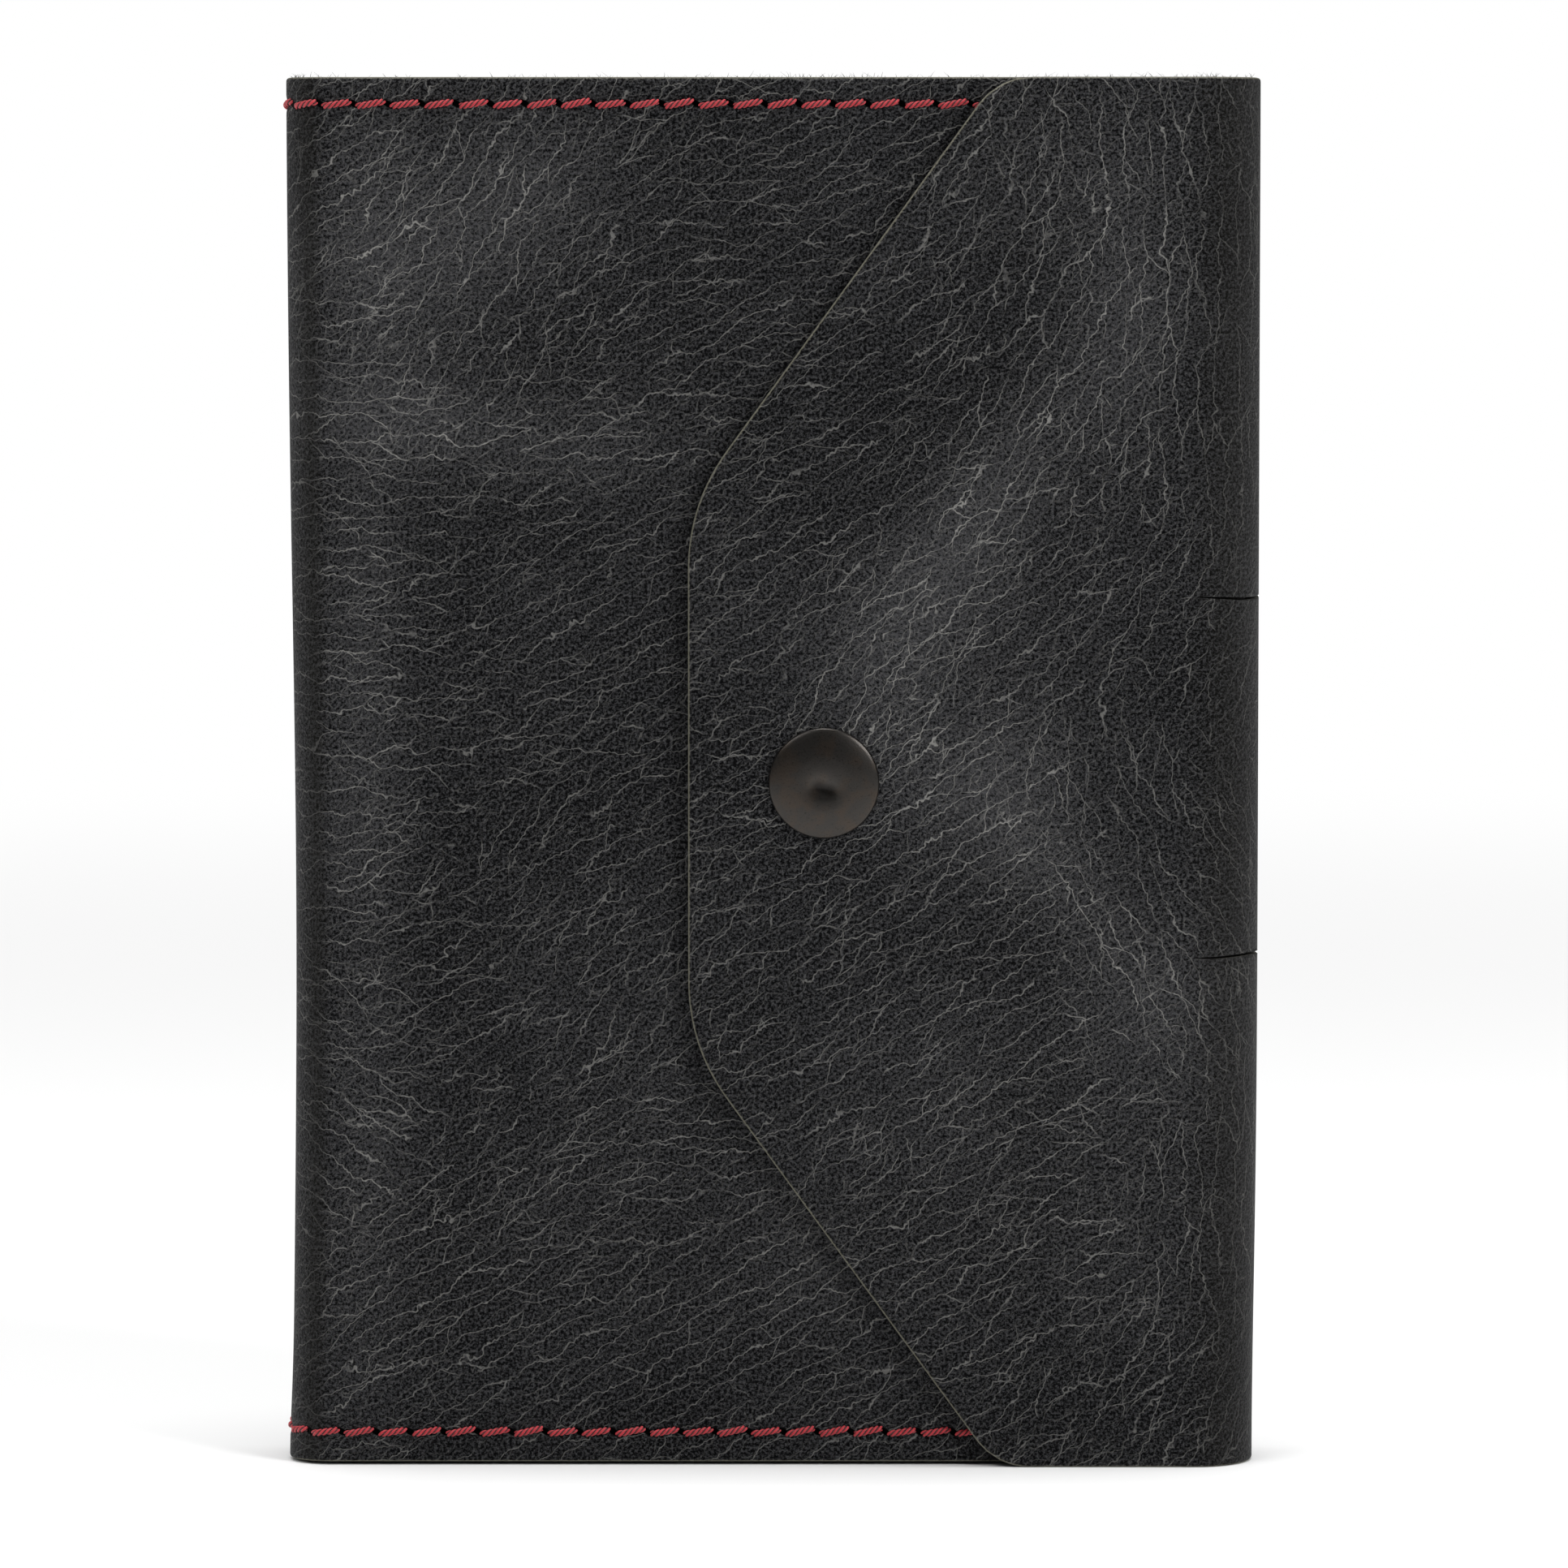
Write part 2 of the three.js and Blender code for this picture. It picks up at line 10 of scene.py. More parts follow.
import bpy
import numpy as np
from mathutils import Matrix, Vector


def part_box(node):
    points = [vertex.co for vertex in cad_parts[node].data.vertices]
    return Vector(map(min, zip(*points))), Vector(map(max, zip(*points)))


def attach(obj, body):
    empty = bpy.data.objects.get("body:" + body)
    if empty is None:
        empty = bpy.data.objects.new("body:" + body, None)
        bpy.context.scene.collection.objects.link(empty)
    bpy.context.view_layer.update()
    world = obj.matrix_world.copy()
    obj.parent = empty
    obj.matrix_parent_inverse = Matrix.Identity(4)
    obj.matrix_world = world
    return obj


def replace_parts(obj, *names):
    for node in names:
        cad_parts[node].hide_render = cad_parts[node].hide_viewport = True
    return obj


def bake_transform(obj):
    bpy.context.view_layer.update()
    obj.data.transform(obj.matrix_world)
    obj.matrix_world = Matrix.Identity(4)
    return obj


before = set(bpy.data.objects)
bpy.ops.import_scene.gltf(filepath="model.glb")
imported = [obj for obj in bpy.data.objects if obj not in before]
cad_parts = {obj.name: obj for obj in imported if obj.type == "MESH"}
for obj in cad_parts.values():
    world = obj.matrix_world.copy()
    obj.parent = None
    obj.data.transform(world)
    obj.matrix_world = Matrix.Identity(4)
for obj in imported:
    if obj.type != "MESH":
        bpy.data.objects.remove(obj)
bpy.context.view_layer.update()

MM = 0.001
RNG = np.random.default_rng(7)


def box_mm(node):
    """Lowest and highest corner of a CAD node in millimetres."""
    low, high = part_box(node)
    return np.array(low) / MM, np.array(high) / MM


# ---- Sizes ---------------------------------------------------------------------------------------

PANEL = box_mm("front_panel")
BACK = box_mm("back_panel")
FLAP = box_mm("flap")
SPINE = box_mm("spine_wrap")
FORE = box_mm("pen_loop_strip")
LEAF = box_mm("front_pocket")
BACK_LEAF = box_mm("back_pocket")
CAP = box_mm("snap_cap")
SEAM = {"top": box_mm("seam_front_top"), "bottom": box_mm("seam_front_bottom")}

TOP = PANEL[1][2]
# The front's bottom edge lies this far below its CAD piece's.
PANEL_DROP = 0.45
PANEL_BOTTOM = PANEL[0][2] - PANEL_DROP
LEATHER = 1.5
LEAF_THICK = LEAF[1][1] - LEAF[0][1]
SPINE_R = 5.0
FORE_R = 7.0
FRONT_Y = PANEL[0][1]
BACK_Y = BACK[1][1]
FLAP_Y = FLAP[0][1]
SPINE_X = SPINE[0][0]
FORE_X = FORE[1][0]
LEAF_Y = LEAF[1][1]
TURN_R = (LEAF_Y - FRONT_Y) / 2
TURN_X = LEAF[1][0]
SEAM_Z = {row: (low[2] + high[2]) / 2 for row, (low, high) in SEAM.items()}
SNAP_X = (CAP[0][0] + CAP[1][0]) / 2
SNAP_Z = (CAP[0][2] + CAP[1][2]) / 2
CAP_R = (CAP[1][0] - CAP[0][0]) / 2
SLITS = (58.0, 98.5)
SLIT_X = 47.6
SLIT_GAP = 0.36
SEAT_R = 4.6
SEAT_DEPTH = 0.7
SEAT_THINNING = 1.15
CAP_DIP = 0.1
SOCKET_HOLE_R = 5.3
SOCKET_THINNING = 0.6
SEAM_SINK = 0.16


# ---- The sheet's line ----------------------------------------------------------------------------

LINE_STEP = 0.05


def arc(cx, cy, radius, start, end):
    """Points round an arc, in degrees, both ends included."""
    count = max(2, int(abs(math.radians(end - start)) * radius / LINE_STEP))
    angles = np.radians(np.linspace(start, end, count))
    return np.column_stack([cx + radius * np.cos(angles), cy + radius * np.sin(angles)])


def line_points():
    """The outer face in plan, from the front pocket's free edge to past the flap's tip."""
    spine_in = SPINE_X + SPINE_R
    fore_in = FORE_X - FORE_R
    return np.vstack([
        [[LEAF[0][0], LEAF_Y]],
        arc(TURN_X, (LEAF_Y + FRONT_Y) / 2, TURN_R, 90, -90),
        arc(spine_in, FRONT_Y + SPINE_R, SPINE_R, 270, 180),
        arc(spine_in, BACK_Y - SPINE_R, SPINE_R, 180, 90),
        arc(fore_in, BACK_Y - FORE_R, FORE_R, 90, 0),
        arc(fore_in, FLAP_Y + FORE_R, FORE_R, 0, -90),
        [[FLAP[0][0] - 3, FLAP_Y]],
    ])


def resampled(points, step):
    """The same line with even steps, and the distance to each point."""
    lengths = np.hypot(*np.diff(points, axis=0).T)
    at = np.concatenate([[0], np.cumsum(lengths)])
    even = np.linspace(0, at[-1], int(at[-1] / step) + 1)
    xy = np.column_stack([np.interp(even, at, points[:, k]) for k in (0, 1)])
    return even, xy


LINE_U, LINE_XY = resampled(line_points(), LINE_STEP)
TANGENT = np.gradient(LINE_XY, LINE_U, axis=0)
TANGENT /= np.hypot(*TANGENT.T)[:, None]
NORMAL = np.column_stack([-TANGENT[:, 1], TANGENT[:, 0]])


def on_line(u):
    """Plan position and outward normal at a distance along the line."""
    xy = [np.interp(u, LINE_U, LINE_XY[:, k]) for k in (0, 1)]
    n = [np.interp(u, LINE_U, NORMAL[:, k]) for k in (0, 1)]
    size = np.hypot(*n)
    return xy[0], xy[1], n[0] / size, n[1] / size


LEAF_LENGTH = TURN_X - LEAF[0][0]
PANEL_START = LEAF_LENGTH + math.pi * TURN_R
PANEL_END = PANEL_START + TURN_X - (SPINE_X + SPINE_R)
SPINE_MIDDLE = PANEL_END + math.pi / 2 * SPINE_R + (BACK_Y - FRONT_Y - 2 * SPINE_R) / 2
BACK_START = 2 * SPINE_MIDDLE - PANEL_END
BACK_END = BACK_START + (FORE_X - FORE_R) - (SPINE_X + SPINE_R)
FORE_MIDDLE = BACK_END + math.pi / 2 * FORE_R + (BACK_Y - FLAP_Y - 2 * FORE_R) / 2
FLAP_START = 2 * FORE_MIDDLE - BACK_END
BACK_CUT = (BACK_START + BACK_END) / 2


def panel_u(x):
    return PANEL_START + TURN_X - x


def flap_u(x):
    return FLAP_START + (FORE_X - FORE_R) - x


def back_u(x):
    return BACK_START + x - (SPINE_X + SPINE_R)


TO_U = {"panel": panel_u, "flap": flap_u, "back": back_u}


def smooth(t):
    t = np.clip(t, 0, 1)
    return t * t * (3 - 2 * t)


def bump_at(distance, reach):
    """1 at no distance, falling smoothly to 0 at reach."""
    return 1 - smooth(distance / reach)


# ---- Flap outline --------------------------------------------------------------------------------

FLAP_TIP_X = FLAP[0][0]
FLAP_MIDDLE = (FLAP[0][2] + FLAP[1][2]) / 2
FLAP_HALF = (FLAP[1][2] - FLAP[0][2]) / 2
TIP_HALF = 30.6
FLAP_SLANT = 0.727
TIP_REACH = 7.4
SHOULDER_REACH = 4.0


def corner(before, here, after, reach, count=28):
    """Points round a corner that starts and ends at reach from it."""
    before, here, after = (np.array(p, float) for p in (before, here, after))
    start = here + (before - here) / np.linalg.norm(before - here) * reach
    end = here + (after - here) / np.linalg.norm(after - here) * reach
    t = np.linspace(0, 1, count)[:, None]
    return (1 - t) ** 2 * start + 2 * t * (1 - t) * here + t ** 2 * end


def flap_half_outline():
    """Upper half of the flap's free edge, from the tip's middle to the top edge."""
    shoulder_x = FLAP_TIP_X + (FLAP_HALF - TIP_HALF) * FLAP_SLANT
    middle = (FLAP_TIP_X, 0)
    tip = (FLAP_TIP_X, TIP_HALF)
    shoulder = (shoulder_x, FLAP_HALF)
    far = (FORE_X, FLAP_HALF)
    return np.vstack([
        [middle],
        corner(middle, tip, shoulder, TIP_REACH),
        corner(tip, shoulder, far, SHOULDER_REACH),
    ])


OUTLINE = flap_half_outline()


def flap_edge_x(z):
    return np.interp(np.abs(z - FLAP_MIDDLE), OUTLINE[:, 1], OUTLINE[:, 0])


def flap_edge_distance(x, z):
    """Distance from the flap's free edge and its top and bottom edges."""
    _, dense = resampled(OUTLINE, 0.1)
    h = np.abs(z - FLAP_MIDDLE)
    best = FLAP_HALF - h
    flat_x, flat_h = np.ravel(x), np.ravel(h)
    near = np.full(flat_x.shape, 1e9)
    for start in range(0, len(flat_x), 4000):
        part = slice(start, start + 4000)
        gaps = np.hypot(flat_x[part, None] - dense[:, 0], flat_h[part, None] - dense[:, 1])
        near[part] = gaps.min(axis=1)
    return np.minimum(best, near.reshape(x.shape))


# ---- Shape of the leather ------------------------------------------------------------------------


def bottom_at(u):
    """Height of the bottom edge: the front is cut a little shorter than the rest."""
    return PANEL_BOTTOM * (1 - smooth((u - PANEL_END) / (SPINE_MIDDLE - PANEL_END + 6)))


def swell(x, z):
    """Slow undulation of leather that has been used, never negative."""
    waves = (
        0.5 * np.sin(x / 17.0 + z / 41.0 + 0.6)
        + 0.35 * np.sin(x / 29.0 - z / 19.0 + 2.1)
        + 0.3 * np.sin(x / 11.0 + z / 13.0 + 4.0)
    )
    fade = smooth((z - 1) / 14) * smooth((TOP - 1 - z) / 14)
    return (0.12 + 0.1 * waves) * fade


def snap_distance(x, z):
    return np.hypot(x - SNAP_X, z - SNAP_Z)


def on_piece(u, start, end):
    """1 inside a stretch of the line, fading over 2 mm at its ends."""
    return smooth((u - start) / 2) * smooth((end - u) / 2)


def lift(u, z):
    """How far the outer face stands off the plain sheet, along its normal."""
    x, _, _, _ = on_line(u)
    on_panel = on_piece(u, PANEL_START, PANEL_END)
    on_flap = smooth((u - FLAP_START) / 2)
    on_back = on_piece(u, BACK_START, BACK_END)
    total = swell(x, z) * (on_panel + on_flap) + swell(-x, z) * on_back
    total -= SEAT_DEPTH * on_panel * (1 - smooth((snap_distance(x, z) - SEAT_R) / 1.6))
    total -= CAP_DIP * on_flap * bump_at(snap_distance(x, z) - CAP_R, 3.5)
    sewn = (u < BACK_END - 2) & (u > PANEL_START)
    for seam_z in SEAM_Z.values():
        total -= SEAM_SINK * sewn * bump_at(np.abs(z - seam_z), 1.1)
    return total


def lean(x, z):
    """Sideways set of the spine and the fore-edge: standing has pushed them in near the bottom."""
    left = 0.8 * np.exp(-((z - 62) / 52.0) ** 2) - 0.35 * np.exp(-(z / 9.0) ** 2)
    right = 0.45 * np.exp(-(z / 28.0) ** 2)
    return left * smooth((-44 - x) / 10) - right * smooth((x - 46) / 8)


def thickness(u, z):
    """Leather's thickness: thinner in the pocket leaf and where the snap is set."""
    x, _, _, _ = on_line(u)
    past_leaf = smooth((u - LEAF_LENGTH) / (PANEL_START - LEAF_LENGTH))
    full = LEAF_THICK + (LEATHER - LEAF_THICK) * past_leaf
    on_panel = on_piece(u, PANEL_START, PANEL_END)
    on_flap = smooth((u - FLAP_START) / 2)
    full -= SEAT_THINNING * on_panel * (1 - smooth((snap_distance(x, z) - SEAT_R) / 1.2))
    full -= SOCKET_THINNING * on_flap * (1 - smooth((snap_distance(x, z) - SOCKET_HOLE_R) / 0.6))
    return full


def past_board(z):
    """1 above and below the ends of the notebook's boards."""
    return np.maximum(smooth((z - 151.8) / 2), smooth((6.2 - z) / 2))


def pinch(u, z):
    """The seams draw the pocket leaf against the panel beyond the board's ends."""
    return 1.45 * past_board(z) * (1 - smooth((u - LEAF_LENGTH + 3) / 3))


def surface(u, z, raised=0.0):
    """Point of the outer face, moved out by raised, in millimetres."""
    x, y, nx, ny = on_line(u)
    out = lift(u, z) + raised - pinch(u, z)
    px = x + nx * out
    return np.stack([px + lean(px, z), y + ny * out, z + 0 * x], axis=-1)


EDGE_R = 0.45
EDGE_IN_R = 0.3


def rounding(distance, radius):
    """How far a face falls back near a cut edge."""
    inside = np.clip(radius - distance, 0, radius)
    return radius - np.sqrt(radius ** 2 - inside ** 2)


# ---- Crease flow ---------------------------------------------------------------------------------

# Direction of the creases, in degrees above the line to the right as seen from outside, at places
# on each stretch: (x, z, angle).
FLOW = {
    "panel": [
        (-46, 149, 38), (-37, 147, 52), (-26, 150, 68), (-13, 146, 38), (-3, 144, 4),
        (8, 150, 30), (-46, 136, 36), (-37, 135, 52), (-23, 138, 50), (-31, 128, 76),
        (-14, 132, 28), (0, 130, 16), (-48, 124, -4), (-36, 125, 56), (-14, 122, 20),
        (-47, 115, -10), (-32, 117, 0), (-19, 115, -8), (-38, 106, -14), (-23, 106, 32),
        (-46, 98, 10), (-28, 96, 44), (-16, 99, 26), (-46, 83, -10), (-33, 84, 10), (-17, 85, 18),
        (-44, 70, 12), (-28, 68, 50), (-17, 66, 36), (-47, 48, -16), (-18, 52, 50), (-35, 52, 20),
        (-46, 37, -26), (-25, 40, 42), (-38, 29, 42), (-24, 30, 20), (-10, 33, 0), (-7, 23, 36),
        (-38, 20, 34), (-40, 10, 20), (-14, 11, 32), (6, 12, 26),
    ],
    "flap": [
        (24, 148, 56), (34, 150, 110), (46, 150, 100), (28, 140, 66), (40, 138, 90),
        (20, 134, 34), (32, 132, 62), (12, 126, 24), (26, 122, 54), (38, 120, 62), (47, 118, 90),
        (4, 112, 20), (18, 112, 46), (30, 110, 42), (-5, 98, 24), (10, 98, 44), (26, 96, 38),
        (40, 96, 54), (-6, 84, 18), (10, 87, 56), (24, 84, 42), (34, 78, 100), (40, 68, 128),
        (-4, 70, 17), (14, 70, 30), (24, 64, 38), (-4, 59, 40), (10, 57, 46), (26, 54, 30),
        (42, 54, 110), (6, 44, 30), (12, 38, 70), (22, 40, 38), (34, 44, 18), (20, 30, 24),
        (34, 30, 8), (46, 30, 90), (20, 20, 30), (32, 20, 46), (26, 8, 40), (40, 10, 50),
    ],
    "back": [
        (-40, 130, -30), (0, 120, -12), (35, 135, -50), (-40, 70, 8), (0, 60, -24), (35, 70, -40),
        (-40, 20, 20), (5, 15, -8), (38, 18, -28),
    ],
}
FLOW_REACH = 9.0
FAR_WEIGHT = 1e-5
LIE_STEP = 30
LIES = tuple(range(0, 180, LIE_STEP))


def lie_shares(u, z):
    """How much of the creasing runs at each angle of LIES, mostly from the nearest of FLOW."""
    total = np.zeros(len(u))
    shares = np.zeros((len(u), len(LIES)))
    for stretch, places in FLOW.items():
        for x, place_z, angle in places:
            near = ((u - TO_U[stretch](x)) ** 2 + (z - place_z) ** 2) / FLOW_REACH ** 2
            weight = np.exp(-near) + FAR_WEIGHT / (1 + near)
            off = np.abs((angle - np.array(LIES) + 90) % 180 - 90)
            shares += weight[:, None] * np.clip(1 - off / LIE_STEP, 0, 1)
            total += weight
    return (shares / total[:, None]) ** 0.6


# Places where handling has lifted the finish, with a painted highlight along the left fold,
# on each stretch: (x, z, reach along, reach across, angle, amount).
HAZE_AND_HIGHLIGHT = {
    "panel": [
        (-44, 138, 14, 11, 30, 0.75), (-30, 142, 16, 8, 40, 0.55), (-41, 119, 12, 5, -6, 1.0),
        # The tall, narrow places at x -46 are a painted highlight along the left fold.
        (-25, 115, 14, 5, -4, 0.55), (-46, 140, 5, 24, 0, 0.4), (-46, 96, 5, 20, 0, 0.6),
        (-46, 62, 5, 24, 0, 0.5), (-46, 26, 5, 22, 0, 0.4), (-22, 34, 22, 9, 38, 0.35),
        (4, 26, 9, 14, 0, 0.5), (-10, 124, 18, 8, 0, 0.2),
    ],
    "flap": [
        (34, 146, 10, 12, 60, 0.6), (40, 130, 6, 16, 0, 0.7), (26, 112, 18, 6, 52, 0.8),
        (17, 97, 12, 7, 55, 0.85), (12, 84, 7, 12, 0, 0.6), (25, 78, 10, 10, -45, 0.7),
        (33, 66, 16, 6, -50, 0.8), (42, 50, 10, 10, -50, 0.6), (20, 40, 12, 18, 10, 0.4),
        (40, 28, 12, 12, 0, 0.35),
    ],
    "back": [
        (-30, 110, 20, 9, -20, 0.6), (20, 60, 22, 8, 30, 0.6), (0, 140, 24, 7, 8, 0.4),
        (-20, 30, 18, 9, -35, 0.5),
    ],
}


def haze_at(u, z):
    """0 to 1: how much the creased, lighter finish shows, with the painted highlight along the left fold."""
    total = np.zeros(np.shape(u))
    for stretch, places in HAZE_AND_HIGHLIGHT.items():
        side = 1 if stretch == "back" else -1
        for x, place_z, along, across, angle, amount in places:
            du = (u - TO_U[stretch](x)) * side
            dz = z - place_z
            cos, sin = math.cos(math.radians(angle)), math.sin(math.radians(angle))
            a = (du * cos + dz * sin) / along
            b = (dz * cos - du * sin) / across
            total += amount * np.exp(-(a * a + b * b))
    return np.clip(total, 0, 1.2)


# Painted shade along each fold, darkest at x: (x, reach, amount).
FOLD_SHADE_PLACES = [(-52.3, 2.2, 1.0), (51.8, 6.5, 0.8)]


def fold_shade_at(u):
    """Painted shade along the folds, from 0 to 1."""
    x, _, _, _ = on_line(u)
    return sum(amount * bump_at(np.abs(x - at), reach) for at, reach, amount in FOLD_SHADE_PLACES)


# ---- Mesh making ---------------------------------------------------------------------------------


def placed(name, data):
    """Object in the scene that shows the data."""
    obj = bpy.data.objects.new(name, data)
    bpy.context.scene.collection.objects.link(obj)
    return obj


def new_object(name, vertices, faces, materials, indices=None, attributes=None, smooth_faces=True):
    """Mesh object from millimetre vertices; vertices that no face uses are left out."""
    faces = np.asarray(faces)
    used, packed = np.unique(faces, return_inverse=True)
    packed = packed.reshape(faces.shape)
    mesh = bpy.data.meshes.new(name)
    mesh.from_pydata((np.asarray(vertices)[used] * MM).tolist(), [], packed.tolist())
    for material in materials:
        mesh.materials.append(material)
    if indices is not None:
        mesh.polygons.foreach_set("material_index", np.asarray(indices, np.int32))
    for label, values in (attributes or {}).items():
        values = np.asarray(values, np.float32)[used]
        if values.ndim == 2:
            mesh.attributes.new(label, "FLOAT_VECTOR", "POINT").data.foreach_set("vector", values.ravel())
        else:
            mesh.attributes.new(label, "FLOAT", "POINT").data.foreach_set("value", values)
    mesh.polygons.foreach_set("use_smooth", np.full(len(faces), smooth_faces))
    mesh.update()
    return placed(name, mesh)


def spaced(start, end, step, fine=()):
    """Increasing positions from start to end, closer inside each (low, high, step) of fine."""
    places = [start]
    while places[-1] < end - 1e-6:
        here = places[-1]
        size = step
        for low, high, small in fine:
            if low - small <= here < high:
                size = min(size, small)
            elif here < low < here + size:
                size = min(size, max(low - here, small))
        places.append(min(here + size, end))
    if len(places) > 2 and places[-1] - places[-2] < 0.3 * step:
        places.pop(-2)
    return np.array(places)


FIBRES_PER_MM = 1.6
FIBRE_TALL = 0.7
FIBRE_R = 0.045
EDGE_STEPS = np.array([0.0, 0.06, 0.16, 0.3, 0.5, 0.8])
WALL_RINGS = 2


class Sheet:
    """A stretch of leather as a grid of rows (heights) and columns (distances).

    face gives the outer face raised by some distance, thick the thickness, and pattern_u the
    distance along the sheet that the creases are read at.
    """

    def __init__(self, u, z, edge, slit_rows=(), face=surface, thick=thickness, pattern_u=None):
        self.u, self.z, self.edge = u, z, edge
        self.slit_rows = slit_rows
        self.face, self.thick = face, thick
        self.pattern_u = u if pattern_u is None else pattern_u
        rows, cols = u.shape
        self.index = np.arange(rows * cols).reshape(rows, cols)
        self.count = rows * cols
        self.make_faces()

    def make_faces(self):
        """Outer and inner points, and which columns of each slit are open."""
        u, z, edge = self.u, self.z, self.edge
        outer = self.face(u, z, -rounding(edge, EDGE_R))
        inner = self.face(u, z, rounding(edge, EDGE_IN_R) - self.thick(u, z))
        self.outer, self.inner = outer.reshape(-1, 3), inner.reshape(-1, 3)
        self.open = {}
        for a in self.slit_rows:
            gap = self.z[a + 1] - self.z[a]
            shut = gap < 1e-6
            self.index[a + 1, shut] = self.index[a, shut]
            self.open[a] = ~(shut[1:] & shut[:-1])

    def fibres(self, chain):
        """Fine fibres standing out of the cut along the top, as curved three-sided spikes."""
        count = int(FIBRES_PER_MM * (self.u.ravel()[chain[-1]] - self.u.ravel()[chain[0]]))
        roots = chain[RNG.integers(2, len(chain) - 2, count)]
        deep = RNG.uniform(0.0, 1.0, count)[:, None]
        base = self.outer[roots] * (1 - deep) + self.inner[roots] * deep
        lean = np.column_stack([RNG.normal(0, 0.7, count), RNG.normal(0, 0.3, count), np.ones(count)])
        curl = RNG.normal(0, 0.5, (count, 3)) * (1, 0.4, 0.3)
        tall = FIBRE_TALL * RNG.uniform(0.3, 1.0, count)[:, None] ** 2
        points, steps = [], 5
        for k in range(steps):
            t = k / (steps - 1)
            middle = base + tall * (lean * t + curl * t * t) - (0, 0, 0.12)
            for corner_angle in (0.0, 2.1, 4.2):
                reach = FIBRE_R * (1 - 0.8 * t)
                points.append(middle + reach * np.array([math.cos(corner_angle), math.sin(corner_angle), 0]))
        grid = np.arange(steps * 3 * count).reshape(steps, 3, count)
        after = np.roll(grid, -1, axis=1)
        quads = np.stack([grid[:-1], after[:-1], after[1:], grid[1:]], axis=-1).reshape(-1, 4)
        return np.concatenate(points), quads, np.tile(roots, steps * 3)

    def build(self, name, walls, materials):
        """The mesh: outer faces, inner faces, and walls on the cut edges named in walls."""
        index, n = self.index, self.count
        cells = np.ones((index.shape[0] - 1, index.shape[1] - 1), bool)
        for a in self.slit_rows:
            cells[a] = False
        quads = np.stack([index[:-1, :-1], index[:-1, 1:], index[1:, 1:], index[1:, :-1]], axis=-1)[cells]
        faces = [quads[:, ::-1], quads + n]
        kinds = [np.zeros(len(quads), int), np.ones(len(quads), int)]
        points = [self.outer, self.inner]
        total = 2 * n
        raw = [np.zeros(2 * n)]
        chains = []
        if "low" in walls:
            chains.append(index[0])
        if "high" in walls:
            chains.append(index[-1][::-1])
        if "start" in walls:
            chains.append(index[:, 0][::-1])
        if "end" in walls:
            chains.append(index[:, -1])
        for a, is_open in self.open.items():
            columns = np.flatnonzero(is_open)
            chain = index[:, columns[0]:columns[-1] + 2]
            chains.append(chain[a + 1])
            chains.append(chain[a][::-1])
        refs = [np.arange(n), np.arange(n)]
        for chain in chains:
            rings = [chain]
            for k in range(1, WALL_RINGS + 1):
                t = k / (WALL_RINGS + 1)
                mix = self.outer[chain] * (1 - t) + self.inner[chain] * t
                points.append(mix)
                refs.append(chain)
                raw.append(np.ones(len(chain)))
                rings.append(np.arange(total, total + len(chain)))
                total += len(chain)
            rings.append(chain + n)
            for upper, lower in zip(rings, rings[1:]):
                wall = np.stack([upper[:-1], upper[1:], lower[1:], lower[:-1]], axis=-1)
                faces.append(wall)
                kinds.append(np.full(len(wall), 2))
        if "high" in walls:
            fibre_points, fibre_faces, roots = self.fibres(index[-1])
            points.append(fibre_points)
            faces.append(fibre_faces + total)
            kinds.append(np.full(len(fibre_faces), 2))
            raw.append(np.ones(len(fibre_points)))
            refs.append(roots)
        refs = np.concatenate(refs)
        u, z = self.pattern_u.ravel()[refs], self.z.ravel()[refs]
        shares = lie_shares(u, z)
        attributes = {
            "sheet": np.column_stack([u, z, np.concatenate(raw)]),
            "lies_low": shares[:, :3],
            "lies_high": shares[:, 3:],
            "haze": haze_at(u, z),
            "fold": fold_shade_at(u),
            "rim": np.clip(1 - self.edge.ravel()[refs] / 0.7, 0, 1),
        }
        return new_object(
            name, np.vstack(points), np.vstack(faces), materials, np.concatenate(kinds), attributes
        )


# ---- Holes of the seams --------------------------------------------------------------------------

PITCH = 3.85
SEAM_START = {"top": 49.2, "bottom": 47.4}
SEAM_BACK_END = 45.6
HOLE_LEAN = math.radians(35)
HOLE_LONG = 0.70
HOLE_WIDE = 0.38


def hole_places(row):
    """Distances along the line of a row's holes."""
    first = panel_u(SEAM_START[row])
    last = back_u(SEAM_BACK_END)
    return first + PITCH * np.arange(int((last - first) / PITCH) + 1)


# ---- Node materials ------------------------------------------------------------------------------


